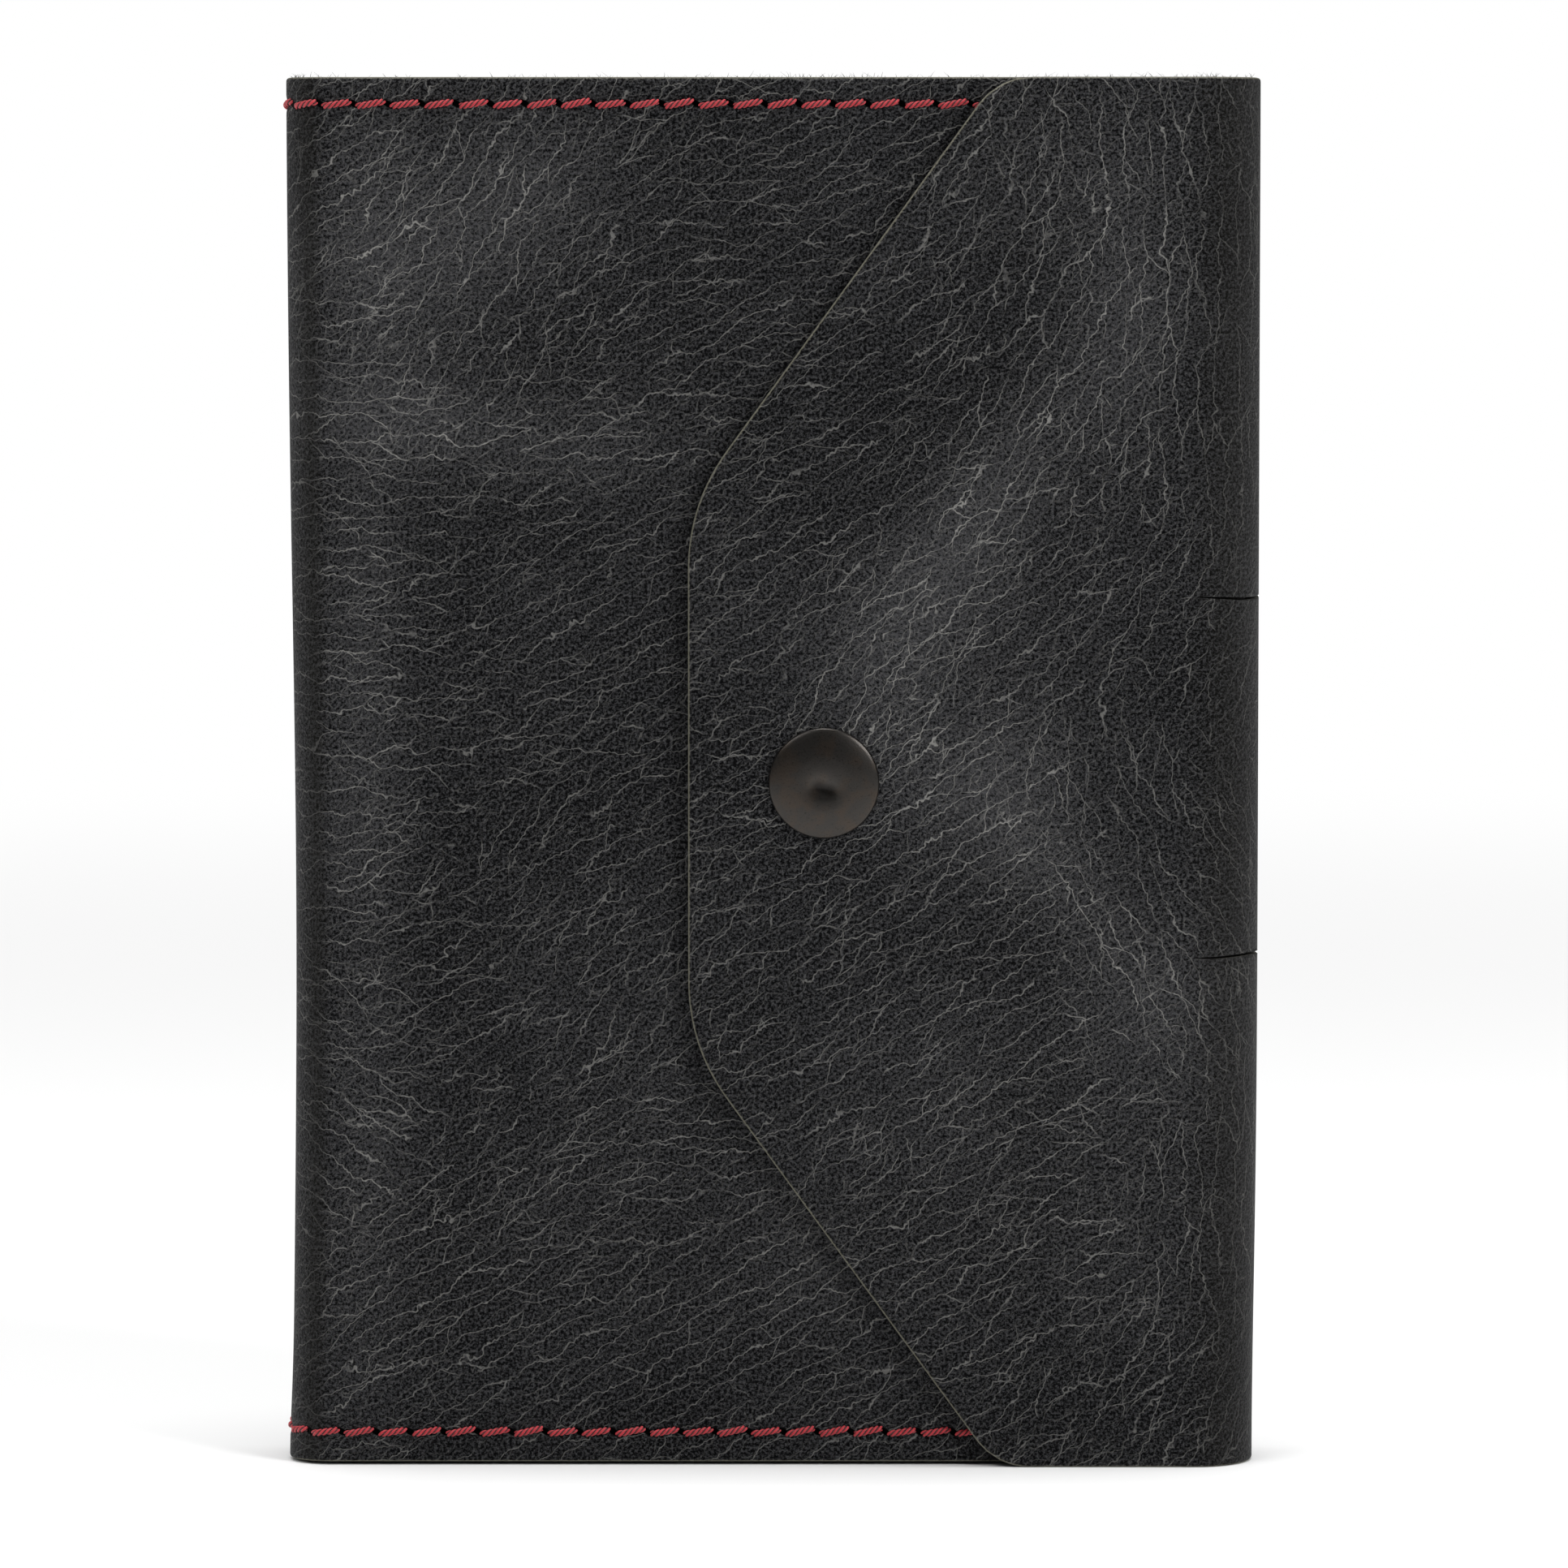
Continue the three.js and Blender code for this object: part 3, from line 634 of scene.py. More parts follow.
class Graph:
    """Short calls for building a node material."""

    def __init__(self, name):
        self.material = bpy.data.materials.new(name)
        self.material.use_nodes = True
        self.tree = self.material.node_tree
        self.shader = self.tree.nodes["Principled BSDF"]

    def node(self, kind, inputs=(), **settings):
        made = self.tree.nodes.new(kind)
        for key, value in settings.items():
            setattr(made, key, value)
        for key, value in dict(inputs).items():
            self.feed(made.inputs[key], value)
        return made

    def feed(self, socket, value):
        if isinstance(value, bpy.types.NodeSocket):
            self.tree.links.new(value, socket)
        else:
            socket.default_value = value

    def math(self, operation, a, b=0.0, c=0.0, clamp=False):
        made = self.node("ShaderNodeMath", operation=operation, use_clamp=clamp)
        for socket, value in zip(made.inputs, (a, b, c)):
            self.feed(socket, value)
        return made.outputs[0]

    def vector(self, operation, a, b=(0, 0, 0), scale=1.0):
        made = self.node("ShaderNodeVectorMath", operation=operation)
        self.feed(made.inputs[0], a)
        if operation == "LENGTH":
            return made.outputs["Value"]
        if operation == "SCALE":
            self.feed(made.inputs["Scale"], scale)
        else:
            self.feed(made.inputs[1], b)
        return made.outputs[0]

    def attribute(self, name, output):
        return self.node("ShaderNodeAttribute", attribute_name=name).outputs[output]

    def noise(self, vector, scale, detail=2.0, roughness=0.5, output=0):
        made = self.node(
            "ShaderNodeTexNoise",
            {"Vector": vector, "Scale": scale, "Detail": detail, "Roughness": roughness},
        )
        return made.outputs[output]

    def cells(self, vector, scale, feature, randomness=1.0):
        """Outputs of the cells round scattered points: nearest (F1), next (F2) or their edges."""
        return self.node(
            "ShaderNodeTexVoronoi",
            {"Vector": vector, "Scale": scale, "Randomness": randomness},
            feature=feature,
            voronoi_dimensions="2D",
        ).outputs

    def ramp(self, value, low, high, out_low=0.0, out_high=1.0):
        made = self.node("ShaderNodeMapRange", interpolation_type="SMOOTHSTEP")
        for socket, item in zip(made.inputs, (value, low, high, out_low, out_high)):
            self.feed(socket, item)
        return made.outputs[0]

    def mix(self, factor, a, b):
        made = self.node("ShaderNodeMix", data_type="RGBA")
        self.feed(made.inputs["Factor"], factor)
        self.feed(made.inputs[6], a)
        self.feed(made.inputs[7], b)
        return made.outputs[2]

    def bump(self, height, distance, strength):
        inputs = {"Height": height, "Distance": distance, "Strength": strength}
        return self.node("ShaderNodeBump", inputs).outputs[0]

    def both(self, a, share_a, b, share_b):
        """Two values added in shares, kept within 0 and 1."""
        parts = [self.math("MULTIPLY", a, share_a), self.math("MULTIPLY", b, share_b)]
        return self.math("ADD", *parts, clamp=True)

    def dress(self, colour, rough_by, rough_low, rough_high, height, distance, strength):
        """Colour, a roughness that follows a noise, and a bump."""
        roughness = self.ramp(rough_by, 0.3, 0.7, rough_low, rough_high)
        self.set(Base_Color=colour, Roughness=roughness, Normal=self.bump(height, distance, strength))

    def set(self, **values):
        for key, value in values.items():
            self.feed(self.shader.inputs[key.replace("_", " ")], value)


def rgb(red, green, blue):
    """Linear colour from 8-bit sRGB."""
    def linear(value):
        c = value / 255
        return c / 12.92 if c <= 0.04045 else ((c + 0.055) / 1.055) ** 2.4
    return (linear(red), linear(green), linear(blue), 1.0)


def crease_net(g, sheet, lie, long, wide, shift, share, width=0.10, wander=0.9):
    """Branching creases: edges of long cells, kept where a noise is high enough.

    lie is their angle as seen from outside, in degrees; long and wide are the cell's size in
    mm; share, from 0 to 1, says how many of them show.
    """
    cos, sin = math.cos(math.radians(lie)), math.sin(math.radians(lie))
    parts = g.node("ShaderNodeSeparateXYZ", {0: sheet}).outputs
    along = g.math("MULTIPLY_ADD", parts[0], cos, g.math("MULTIPLY", parts[1], -sin))
    across = g.math("MULTIPLY_ADD", parts[1], cos, g.math("MULTIPLY", parts[0], sin))
    spot = g.node("ShaderNodeCombineXYZ", {0: along, 1: across, 2: shift}).outputs[0]
    coarse = g.noise(g.vector("MULTIPLY", spot, (0.22, 0.3, 1.0)), 1.0, 1.0, 0.5)
    fine = g.noise(g.vector("MULTIPLY", spot, (0.95, 0.6, 1.0)), 1.0, 2.0, 0.6)
    sway = g.math("MULTIPLY_ADD", fine, 1.35 * wander, g.math("MULTIPLY", coarse, 2.8 * wander))
    bend = g.math("ADD", sway, across)
    cells = g.node("ShaderNodeCombineXYZ", {
        0: g.math("MULTIPLY_ADD", along, 1 / long, shift),
        1: g.math("MULTIPLY_ADD", bend, 1 / wide, shift),
    }).outputs[0]
    first = g.cells(cells, 1.0, "F1", 0.75)
    other = g.cells(cells, 1.0, "F2", 0.75)
    away = g.vector("SUBTRACT", other["Position"], first["Position"])
    squares = [g.math("MULTIPLY", found["Distance"], found["Distance"]) for found in (first, other)]
    normal = g.vector("MULTIPLY", away, (1 / long, 1 / wide, 0.0))
    size = g.vector("LENGTH", normal)
    gap = g.math("DIVIDE", g.math("SUBTRACT", squares[1], squares[0]), g.math("MULTIPLY", size, 2.0))
    aligned = g.node("ShaderNodeSeparateXYZ", {0: g.vector("NORMALIZE", normal)}).outputs[1]
    line = g.ramp(gap, 0.2 * width, width, 1.0, 0.0)
    line = g.math("MULTIPLY", line, g.ramp(g.math("ABSOLUTE", aligned), 0.35, 0.85))
    fade = g.noise(g.vector("MULTIPLY", spot, (0.13, 0.4, 1.0)), 1.0, 3.0, 0.55)
    shown = g.math("MULTIPLY_ADD", share, 0.36, fade)
    return g.math("MULTIPLY", line, g.ramp(shown, 0.62, 0.84))


def stitch_holes(g, sheet):
    """Mask of the slanted awl holes of both rows, from the distance along the line and height."""
    parts = g.node("ShaderNodeSeparateXYZ", {0: sheet}).outputs
    cos, sin = math.cos(HOLE_LEAN), math.sin(HOLE_LEAN)
    mask = 0.0
    for row in SEAM_START:
        holes = hole_places(row)
        along = g.math("WRAP", g.math("SUBTRACT", parts[0], float(holes[0])), PITCH / 2, -PITCH / 2)
        across = g.math("SUBTRACT", parts[1], SEAM_Z[row])
        long = g.math("MULTIPLY_ADD", along, cos, g.math("MULTIPLY", across, sin))
        wide = g.math("MULTIPLY_ADD", across, cos, g.math("MULTIPLY", along, -sin))
        spot = g.node("ShaderNodeCombineXYZ", {
            0: g.math("DIVIDE", long, HOLE_LONG),
            1: g.math("DIVIDE", wide, HOLE_WIDE),
        }).outputs[0]
        hole = g.ramp(g.vector("LENGTH", spot), 0.75, 1.15, 1.0, 0.0)
        inside = g.math("LESS_THAN", parts[0], float(holes[-1]) + 1)
        inside = g.math("MULTIPLY", inside, g.math("GREATER_THAN", parts[0], float(holes[0]) - 1))
        mask = g.math("MAXIMUM", mask, g.math("MULTIPLY", hole, inside))
    return mask


def leather_material():
    """Waxed black leather: pale creases in a layer for each of LIES, a fine net, pebble grain, a lighter
    finish; painted glints, highlights and shade.
    """
    g = Graph("leather_black")
    sheet = g.attribute("sheet", "Vector")
    haze = g.attribute("haze", "Fac")
    rim = g.attribute("rim", "Fac")
    fold = g.attribute("fold", "Fac")

    shares = []
    for name in ("lies_low", "lies_high"):
        shares += g.node("ShaderNodeSeparateXYZ", {0: g.attribute(name, "Vector")}).outputs
    lines = 0.0
    for k, (lie, share) in enumerate(zip(LIES, shares)):
        lines = g.math("MAXIMUM", lines, crease_net(g, sheet, lie, 9.0, 2.2, 3.1 + 14 * k, share))
    small = crease_net(g, sheet, 40, 2.2, 1.4, 93.1, 0.75, 0.08, 0.6)
    lines = g.math("MAXIMUM", lines, g.math("MULTIPLY", small, 0.3))

    wobble = g.vector("SUBTRACT", g.noise(sheet, 1.4, 2.0, 0.5, output=1), (0.5, 0.5, 0.5))
    netted = g.vector("ADD", sheet, g.vector("SCALE", wobble, scale=0.7))
    net = g.ramp(g.cells(netted, 1.35, "DISTANCE_TO_EDGE")["Distance"], 0.0, 0.10, 1.0, 0.0)
    net = g.math("MULTIPLY", net, g.ramp(g.noise(sheet, 0.7, 3.0, 0.6), 0.38, 0.68))
    grain = g.noise(sheet, 2.8, 3.0, 0.8)
    pebble = g.cells(sheet, 2.6, "F1")["Distance"]

    strength = g.math("MULTIPLY_ADD", haze, 0.5, 0.5)
    lines = g.math("MULTIPLY", lines, strength)
    pale = g.math("MULTIPLY_ADD", net, g.math("MULTIPLY_ADD", haze, 0.28, 0.05), lines, clamp=True)

    cloud = g.noise(sheet, 0.045, 2.0, 0.5)
    # Base lightness: the lighter finish, with the painted highlight along the left fold, and a slow random
    # cloud.
    tone = g.math("MULTIPLY_ADD", haze, 0.28, g.math("MULTIPLY", cloud, 0.35))
    # Speckle of the pebble grain: partly its own tone, partly painted glints of the pebbles.
    speck = g.math("MULTIPLY", g.math("SUBTRACT", grain, 0.5), 4.2)
    tone = g.math("ADD", tone, speck, clamp=True)
    base = g.mix(tone, rgb(0, 0, 1), rgb(58, 58, 60))
    colour = g.mix(pale, base, rgb(122, 121, 118))
    # Painted shade along the folds of the spine and the fore-edge.
    colour = g.mix(g.math("MULTIPLY", fold, 0.62), colour, rgb(12, 11, 8))
    # Lighter rim along the cut edges: partly rubbed wear, partly a painted highlight of the rounded edge.
    edge_wear_and_highlight = g.ramp(g.math("MULTIPLY_ADD", grain, 0.5, rim), 0.9, 1.15)
    colour = g.mix(g.math("MULTIPLY", edge_wear_and_highlight, 0.8), colour, rgb(112, 110, 98))
    # The stitch holes are painted black: painted shade inside the holes.
    holes = stitch_holes(g, sheet)
    colour = g.mix(holes, colour, (0, 0, 0, 1))

    height = g.math("MULTIPLY", pebble, 0.5)
    height = g.math("MULTIPLY_ADD", grain, 0.8, height)
    height = g.math("MULTIPLY_ADD", lines, -0.9, height)
    height = g.math("MULTIPLY_ADD", net, -0.3, height)
    height = g.math("MULTIPLY_ADD", holes, -2.5, height)
    rough = g.math("MULTIPLY_ADD", grain, 0.14, 0.50)
    rough = g.math("MULTIPLY_ADD", pale, 0.14, rough)
    g.set(Base_Color=colour, Roughness=rough, Normal=g.bump(height, 0.00018, 0.8))
    shine = g.mix(g.ramp(tone, 0.0, 0.5), rgb(128, 128, 128), rgb(255, 255, 255))
    # No reflection in the stitch holes, part of their painted shade.
    g.set(Specular_Tint=g.mix(holes, shine, (0, 0, 0, 1)))
    g.set(Specular_IOR_Level=0.16)
    return g.material


def flesh_material():
    """Napped underside of the leather, dark olive grey."""
    g = Graph("leather_flesh")
    sheet = g.attribute("sheet", "Vector")
    nap = g.noise(sheet, 1.6, 5.0, 0.7)
    cloud = g.noise(sheet, 0.12, 3.0, 0.5)
    tone = g.both(nap, 0.7, cloud, 0.4)
    colour = g.mix(tone, rgb(34, 33, 30), rgb(86, 83, 76))
    g.dress(colour, nap, 0.86, 0.97, nap, 0.00025, 0.5)
    g.set(Sheen_Weight=0.2)
    return g.material


def raw_edge_material():
    """Cut edge of the leather: fibrous, a little lighter and olive."""
    g = Graph("leather_edge")
    sheet = g.attribute("sheet", "Vector")
    position = g.node("ShaderNodeTexCoord").outputs["Object"]
    fibre = g.noise(position, 2600.0, 4.0, 0.7)
    blotch = g.noise(sheet, 0.5, 2.0, 0.5)
    tone = g.both(fibre, 0.8, blotch, 0.3)
    colour = g.mix(tone, rgb(16, 16, 14), rgb(60, 58, 51))
    g.dress(colour, fibre, 0.85, 0.98, fibre, 0.0002, 0.7)
    return g.material


LEATHER_LOOK = leather_material()
FLESH_LOOK = flesh_material()
EDGE_LOOK = raw_edge_material()
LEATHER_LOOKS = [LEATHER_LOOK, FLESH_LOOK, EDGE_LOOK]


# ---- Leather pieces ------------------------------------------------------------------------------

SEAM_FINE = [(z - 1.2, z + 1.2, 0.24) for z in SEAM_Z.values()]
SNAP_FINE = [(SNAP_Z - 7.4, SNAP_Z + 7.4, 0.4)]


def heights(extra=()):
    """Row heights from 0 to 1 of the full height, closer at the edges, seams and the snap."""
    inner = spaced(0.8, TOP - 0.8, 1.0, [*SEAM_FINE, *SNAP_FINE, *extra])
    return np.concatenate([EDGE_STEPS[:-1], inner, TOP - EDGE_STEPS[:-1][::-1]])


def columns(start, end, fine=()):
    bends = [
        (LEAF_LENGTH - 1, PANEL_START + 1, 0.3),
        (PANEL_END - 1, BACK_START + 1, 0.45),
        (BACK_END - 2, FLAP_START + 2, 0.45),
    ]
    return spaced(start, end, 1.2, [*bends, *fine])


def sheet_grid(cols, rows):
    """Grid whose lowest row follows the bottom edge."""
    u, z = np.meshgrid(cols, rows)
    low = bottom_at(u)
    squeeze = 1 - smooth((z - 0.8) / 1.6)
    return u, z + low * squeeze, np.minimum(TOP - z, z)


def cover_front():
    snap = [(panel_u(SNAP_X) - 7.2, panel_u(SNAP_X) + 7.2, 0.4)]
    cols = np.concatenate([EDGE_STEPS[:-1], columns(0.8, SPINE_MIDDLE, snap)])
    u, z, edge = sheet_grid(cols, heights())
    sheet = Sheet(u, z, np.minimum(edge, u))
    obj = sheet.build("cover_front", ("low", "high", "start"), LEATHER_LOOKS)
    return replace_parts(obj, "front_panel", "front_edge_fold", "front_pocket", "spine_wrap")


def cover_back():
    sheet = Sheet(*sheet_grid(columns(SPINE_MIDDLE, BACK_CUT), heights()))
    obj = sheet.build("cover_back_spine_side", ("low", "high"), LEATHER_LOOKS)
    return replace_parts(obj, "spine_wrap", "back_panel")


def slit_width(u):
    """Opening of a slit at a distance along the line, widest round the fore-edge."""
    start = back_u(SLIT_X)
    end = flap_u(SLIT_X)
    t = (u - start) / (end - start)
    return SLIT_GAP * np.clip(4 * t * (1 - t), 0, 1) ** 0.45


def slit_heights():
    """Rows with a pair at each slit, and the lower row's place of each pair."""
    rows = heights([(z - 1.5, z + 1.5, 0.35) for z in SLITS])
    pairs = []
    for z in SLITS:
        rows = rows[np.abs(rows - z) > 0.22]
        at = int(np.searchsorted(rows, z))
        rows = np.insert(rows, at, [z, z])
        pairs.append(at)
    return rows, pairs


def open_slits(u, z, pairs):
    """Parts each pair of rows by the slit's width."""
    for a, slit_z in zip(pairs, SLITS):
        half = slit_width(u[a]) / 2
        wave = 0.12 * np.sin(u[a] / 2.3 + slit_z)
        z[a] = slit_z + wave - half
        z[a + 1] = slit_z + wave + half


def fore_edge_back():
    rows, pairs = slit_heights()
    slit_end = [(back_u(SLIT_X) - 1, back_u(SLIT_X) + 2, 0.3)]
    u, z, edge = sheet_grid(columns(BACK_CUT, FORE_MIDDLE, slit_end), rows)
    open_slits(u, z, pairs)
    sheet = Sheet(u, z, edge, pairs)
    obj = sheet.build("cover_back_fore_side", ("low", "high"), LEATHER_LOOKS)
    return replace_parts(obj, "back_panel", "fore_edge_upper", "fore_edge_lower", "pen_loop_strip")


def cover_flap():
    rows, pairs = slit_heights()
    snap = [(flap_u(SNAP_X) - 7.6, flap_u(SNAP_X) + 7.6, 0.5)]
    tip = flap_u(FLAP_TIP_X)
    slit_end = [(flap_u(SLIT_X) - 2, flap_u(SLIT_X) + 1, 0.3)]
    cols = columns(FORE_MIDDLE, tip - 0.8, [*snap, *slit_end])
    fixed = flap_u(FORE_X - FORE_R - 2)
    u = np.empty((len(rows), len(cols) + len(EDGE_STEPS) - 1))
    for i, z in enumerate(rows):
        end = flap_u(float(flap_edge_x(z)))
        stretch = (end - 0.8 - fixed) / (tip - 0.8 - fixed)
        here = np.where(cols > fixed, fixed + (cols - fixed) * stretch, cols)
        u[i] = np.concatenate([here, end - EDGE_STEPS[:-1][::-1]])
    z = np.repeat(rows[:, None], u.shape[1], axis=1)
    open_slits(u, z, pairs)
    x, _, _, _ = on_line(u)
    edge = np.where(u > fixed, flap_edge_distance(x, z), np.minimum(TOP - z, z))
    sheet = Sheet(u, z, np.maximum(edge, 0), pairs)
    obj = sheet.build("cover_flap", ("low", "high", "end"), LEATHER_LOOKS)
    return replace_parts(obj, "flap", "fore_edge_upper", "fore_edge_lower", "pen_loop_strip")


def bend_with(obj, a, b):
    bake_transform(obj)


def make_cover():
    for obj, a, b in (
        (cover_front(), "spine", "front"),
        (cover_back(), "spine", "back"),
        (fore_edge_back(), "back", "fore_edge"),
        (cover_flap(), "fore_edge", "flap"),
    ):
        bend_with(obj, a, b)


# Where on the pattern the back pocket's leaf is read, past every other stretch.
BACK_LEAF_TURN = 300.0


def back_leaf_face(u, z, raised=0.0):
    """Grain face of the back pocket's leaf, drawn to the back at the seams."""
    x = BACK_LEAF[1][0] - u
    y = BACK_LEAF[0][1] - raised + 1.15 * past_board(z)
    return np.stack([x, y + 0 * x, z + 0 * x], axis=-1)


def back_leaf_thickness(u, z):
    return np.full(np.shape(u), BACK_LEAF[1][1] - BACK_LEAF[0][1])


def back_pocket():
    width = BACK_LEAF[1][0] - BACK_LEAF[0][0]
    inside = spaced(0.8, width - 0.8, 1.0)
    cols = np.concatenate([EDGE_STEPS[:-1], inside, width - EDGE_STEPS[:-1][::-1]])
    u, z = np.meshgrid(cols, heights())
    z = PANEL_BOTTOM + (z - z.min()) * (TOP - PANEL_BOTTOM) / (z.max() - z.min())
    edge = np.minimum(np.minimum(TOP - z, z - PANEL_BOTTOM), np.minimum(u, width - u))
    sheet = Sheet(u, z, edge, (), back_leaf_face, back_leaf_thickness, u + BACK_LEAF_TURN)
    obj = sheet.build("pocket_back", ("low", "high", "start", "end"), LEATHER_LOOKS)
    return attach(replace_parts(obj, "back_pocket"), "back")


# ---- Stitches ------------------------------------------------------------------------------------

THREAD_R = 0.39
PLY_R = 0.19
LEAD = 1.95
SLANT = 0.36


def twisted(centres, outward, up, along, sides):
    """Vertices and faces of three plies wound round each strand.

    centres, outward and up are (strand, step, 3); along is each step's distance on its strand.
    """
    strands, steps = along.shape
    wind = -2 * np.pi * along / LEAD
    around = np.linspace(0, 2 * np.pi, sides, endpoint=False)
    points, yarn, faces = [], [], []
    total = 0
    for ply in range(3):
        phase = wind + ply * 2 * np.pi / 3
        spoke = np.cos(phase)[..., None] * outward + np.sin(phase)[..., None] * up
        other = -np.sin(phase)[..., None] * outward + np.cos(phase)[..., None] * up
        middle = centres + spoke * (THREAD_R - PLY_R)
        for angle in around:
            ring = middle + PLY_R * (math.cos(angle) * spoke + math.sin(angle) * other)
            points.append(ring)
            turn = np.full(along.shape, angle)
            yarn.append(np.stack([along, turn + ply, np.cos(turn)], axis=-1))
        grid = total + np.arange(sides * strands * steps).reshape(sides, strands, steps)
        after = np.roll(grid, -1, axis=0)
        quads = np.stack([grid[..., :-1], grid[..., 1:], after[..., 1:], after[..., :-1]], axis=-1)
        faces.append(quads.reshape(-1, 4))
        total += sides * strands * steps
    points = np.concatenate([p.reshape(-1, 3) for p in points])
    yarn = np.concatenate([y.reshape(-1, 3) for y in yarn])
    return points, yarn, np.concatenate(faces)


def strands(face, starts, seam_z, steps, tall, slant, sides, jitter):
    """Stitches between neighbouring holes on a face, each diving into both holes."""
    t = np.linspace(0, 1, steps)[None, :]
    swing = jitter[:, None]
    u = starts[:, None] + PITCH * (0.02 + 0.96 * t)
    z = seam_z + slant * (1 - 2 * t) * (1 + 0.25 * swing) + 0.05 * swing
    high = tall - 1.6 * np.abs(2 * t - 1) ** 6 + 0.03 * swing
    centres = face(u, z, high)
    ahead = np.gradient(centres, axis=1)
    ahead /= np.linalg.norm(ahead, axis=-1, keepdims=True)
    outward = face(u, z, high + 0.1) - centres
    outward -= (outward * ahead).sum(-1, keepdims=True) * ahead
    outward /= np.linalg.norm(outward, axis=-1, keepdims=True)
    up = np.cross(outward, ahead)
    up *= np.sign(up[..., 2:3])
    length = np.linalg.norm(np.diff(centres, axis=1), axis=-1)
    along = np.concatenate([np.zeros((len(starts), 1)), np.cumsum(length, axis=1)], axis=1)
    return twisted(centres, outward, up, along + jitter[:, None] * LEAD, sides)


def inner_face(u, z, raised=0.0):
    """Face that the inner stitches lie on: the flesh side, or the pocket leaf's grain side."""
    x, _, _, _ = on_line(u)
    open_side = surface(u, z, -thickness(u, z) - raised)
    front_leaf = surface(np.clip(x - LEAF[0][0], 0, None), z, raised)
    back_leaf = back_leaf_face(BACK_LEAF[1][0] - x, z, raised)
    on_leaf = (x > LEAF[0][0] + 0.5)[..., None]
    leaf = np.where((u > SPINE_MIDDLE)[..., None], back_leaf, front_leaf)
    return np.where(on_leaf, leaf, open_side)


OUTER_STEPS, INNER_STEPS = 26, 16


def stitch_row(name, row, start, end, nodes, bodies):
    """One row of thread on the stretch of the line between start and end, outside and inside."""
    holes = hole_places(row)
    first = holes[(holes >= start - 0.5 * PITCH) & (holes + PITCH < end + 0.5 * PITCH)]
    first = first[first + PITCH <= holes[-1] + 0.01]
    jitter = RNG.uniform(-1, 1, len(first))
    z = SEAM_Z[row]
    tall = 0.13
    parts = [
        strands(surface, first, z, OUTER_STEPS, tall, SLANT, 8, jitter),
        strands(inner_face, first, z, INNER_STEPS, 0.24, -SLANT, 6, jitter),
    ]
    points, yarn, faces = [], [], []
    total = 0
    for part_points, part_yarn, part_faces in parts:
        points.append(part_points)
        yarn.append(part_yarn)
        faces.append(part_faces + total)
        total += len(part_points)
    obj = new_object(
        name, np.vstack(points), np.vstack(faces), [THREAD_LOOK], None, {"yarn": np.vstack(yarn)}
    )
    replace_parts(obj, *nodes)
    bend_with(obj, *bodies)


def thread_material():
    """Waxed red thread: fibres along each ply, with painted shade between the plies."""
    g = Graph("thread_red")
    yarn = g.attribute("yarn", "Vector")
    position = g.node("ShaderNodeTexCoord").outputs["Object"]
    fibre = g.noise(g.vector("MULTIPLY", yarn, (1.2, 5.0, 1.0)), 1.6, 3.0, 0.6)
    blotch = g.noise(position, 900.0, 2.0, 0.5)
    tone = g.both(fibre, 0.8, blotch, 0.4)
    colour = g.mix(tone, rgb(112, 7, 18), rgb(190, 30, 44))
    # Painted shade on the side of each ply that faces the other plies.
    clear_of_ply_shade = g.ramp(g.node("ShaderNodeSeparateXYZ", {0: yarn}).outputs[2], -0.3, 0.75)
    colour = g.mix(clear_of_ply_shade, rgb(52, 2, 8), colour)
    g.dress(colour, fibre, 0.42, 0.6, fibre, 0.00004, 0.6)
    g.set(Specular_IOR_Level=0.5)
    g.set(Sheen_Weight=0.15)
    return g.material


THREAD_LOOK = thread_material()


def make_stitches():
    for row in SEAM_Z:
        stitch_row(
            f"stitches_front_{row}", row, PANEL_START - 2, SPINE_MIDDLE,
            [f"seam_front_{row}", f"seam_spine_{row}"], ("spine", "front"),
        )
        stitch_row(
            f"stitches_back_{row}", row, SPINE_MIDDLE, BACK_END,
            [f"seam_spine_{row}", f"seam_back_{row}"], ("spine", "back"),
        )


# ---- Snap ----------------------------------------------------------------------------------------

ROUND_STEPS = 3


def softened(profile, radius):
    """The profile with each inner corner rounded."""
    profile = np.array(profile, float)
    points = [profile[0]]
    for before, here, after in zip(profile, profile[1:], profile[2:]):
        to_before, to_after = before - here, after - here
        reach = min(radius, np.linalg.norm(to_before) / 2.1, np.linalg.norm(to_after) / 2.1)
        start = here + to_before / np.linalg.norm(to_before) * reach
        end = here + to_after / np.linalg.norm(to_after) * reach
        for t in np.linspace(0, 1, ROUND_STEPS):
            points.append((1 - t) ** 2 * start + 2 * t * (1 - t) * here + t ** 2 * end)
    points.append(profile[-1])
    return np.array(points)


def turned(node, profile, material, body, sides=96, closed=False, shape=None):
    """Piece of the snap turned about its axis, in place of a CAD node, riding on a body.

    A profile point is [radius, y]. closed joins the last point to the first; shape moves y.
    """
    profile = np.array(profile, float)
    angles = np.linspace(0, 2 * np.pi, sides, endpoint=False)
    radius = profile[:, 0][:, None]
    x = SNAP_X + radius * np.cos(angles)
    z = SNAP_Z + radius * np.sin(angles)
    y = np.repeat(profile[:, 1][:, None], sides, axis=1)
    if shape is not None:
        y = shape(x, y, z)
    points = np.stack([x, y, z], axis=-1).reshape(-1, 3)
    grid = np.arange(len(points)).reshape(len(profile), sides)
    after = np.roll(grid, -1, axis=1)
    below, above = grid[:-1], grid[1:]
    below_after, above_after = after[:-1], after[1:]
    quads = np.stack([below, below_after, above_after, above], axis=-1).reshape(-1, 4)
    if closed:
        joint = np.stack([grid[-1], after[-1], after[0], grid[0]], axis=-1)
        quads = np.vstack([quads, joint])
    local = np.column_stack([points[:, 0] - SNAP_X, points[:, 2] - SNAP_Z, points[:, 1]])
    obj = new_object(f"{node}_turned", points, quads, [material], None, {"local": local})
    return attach(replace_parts(obj, node), body)


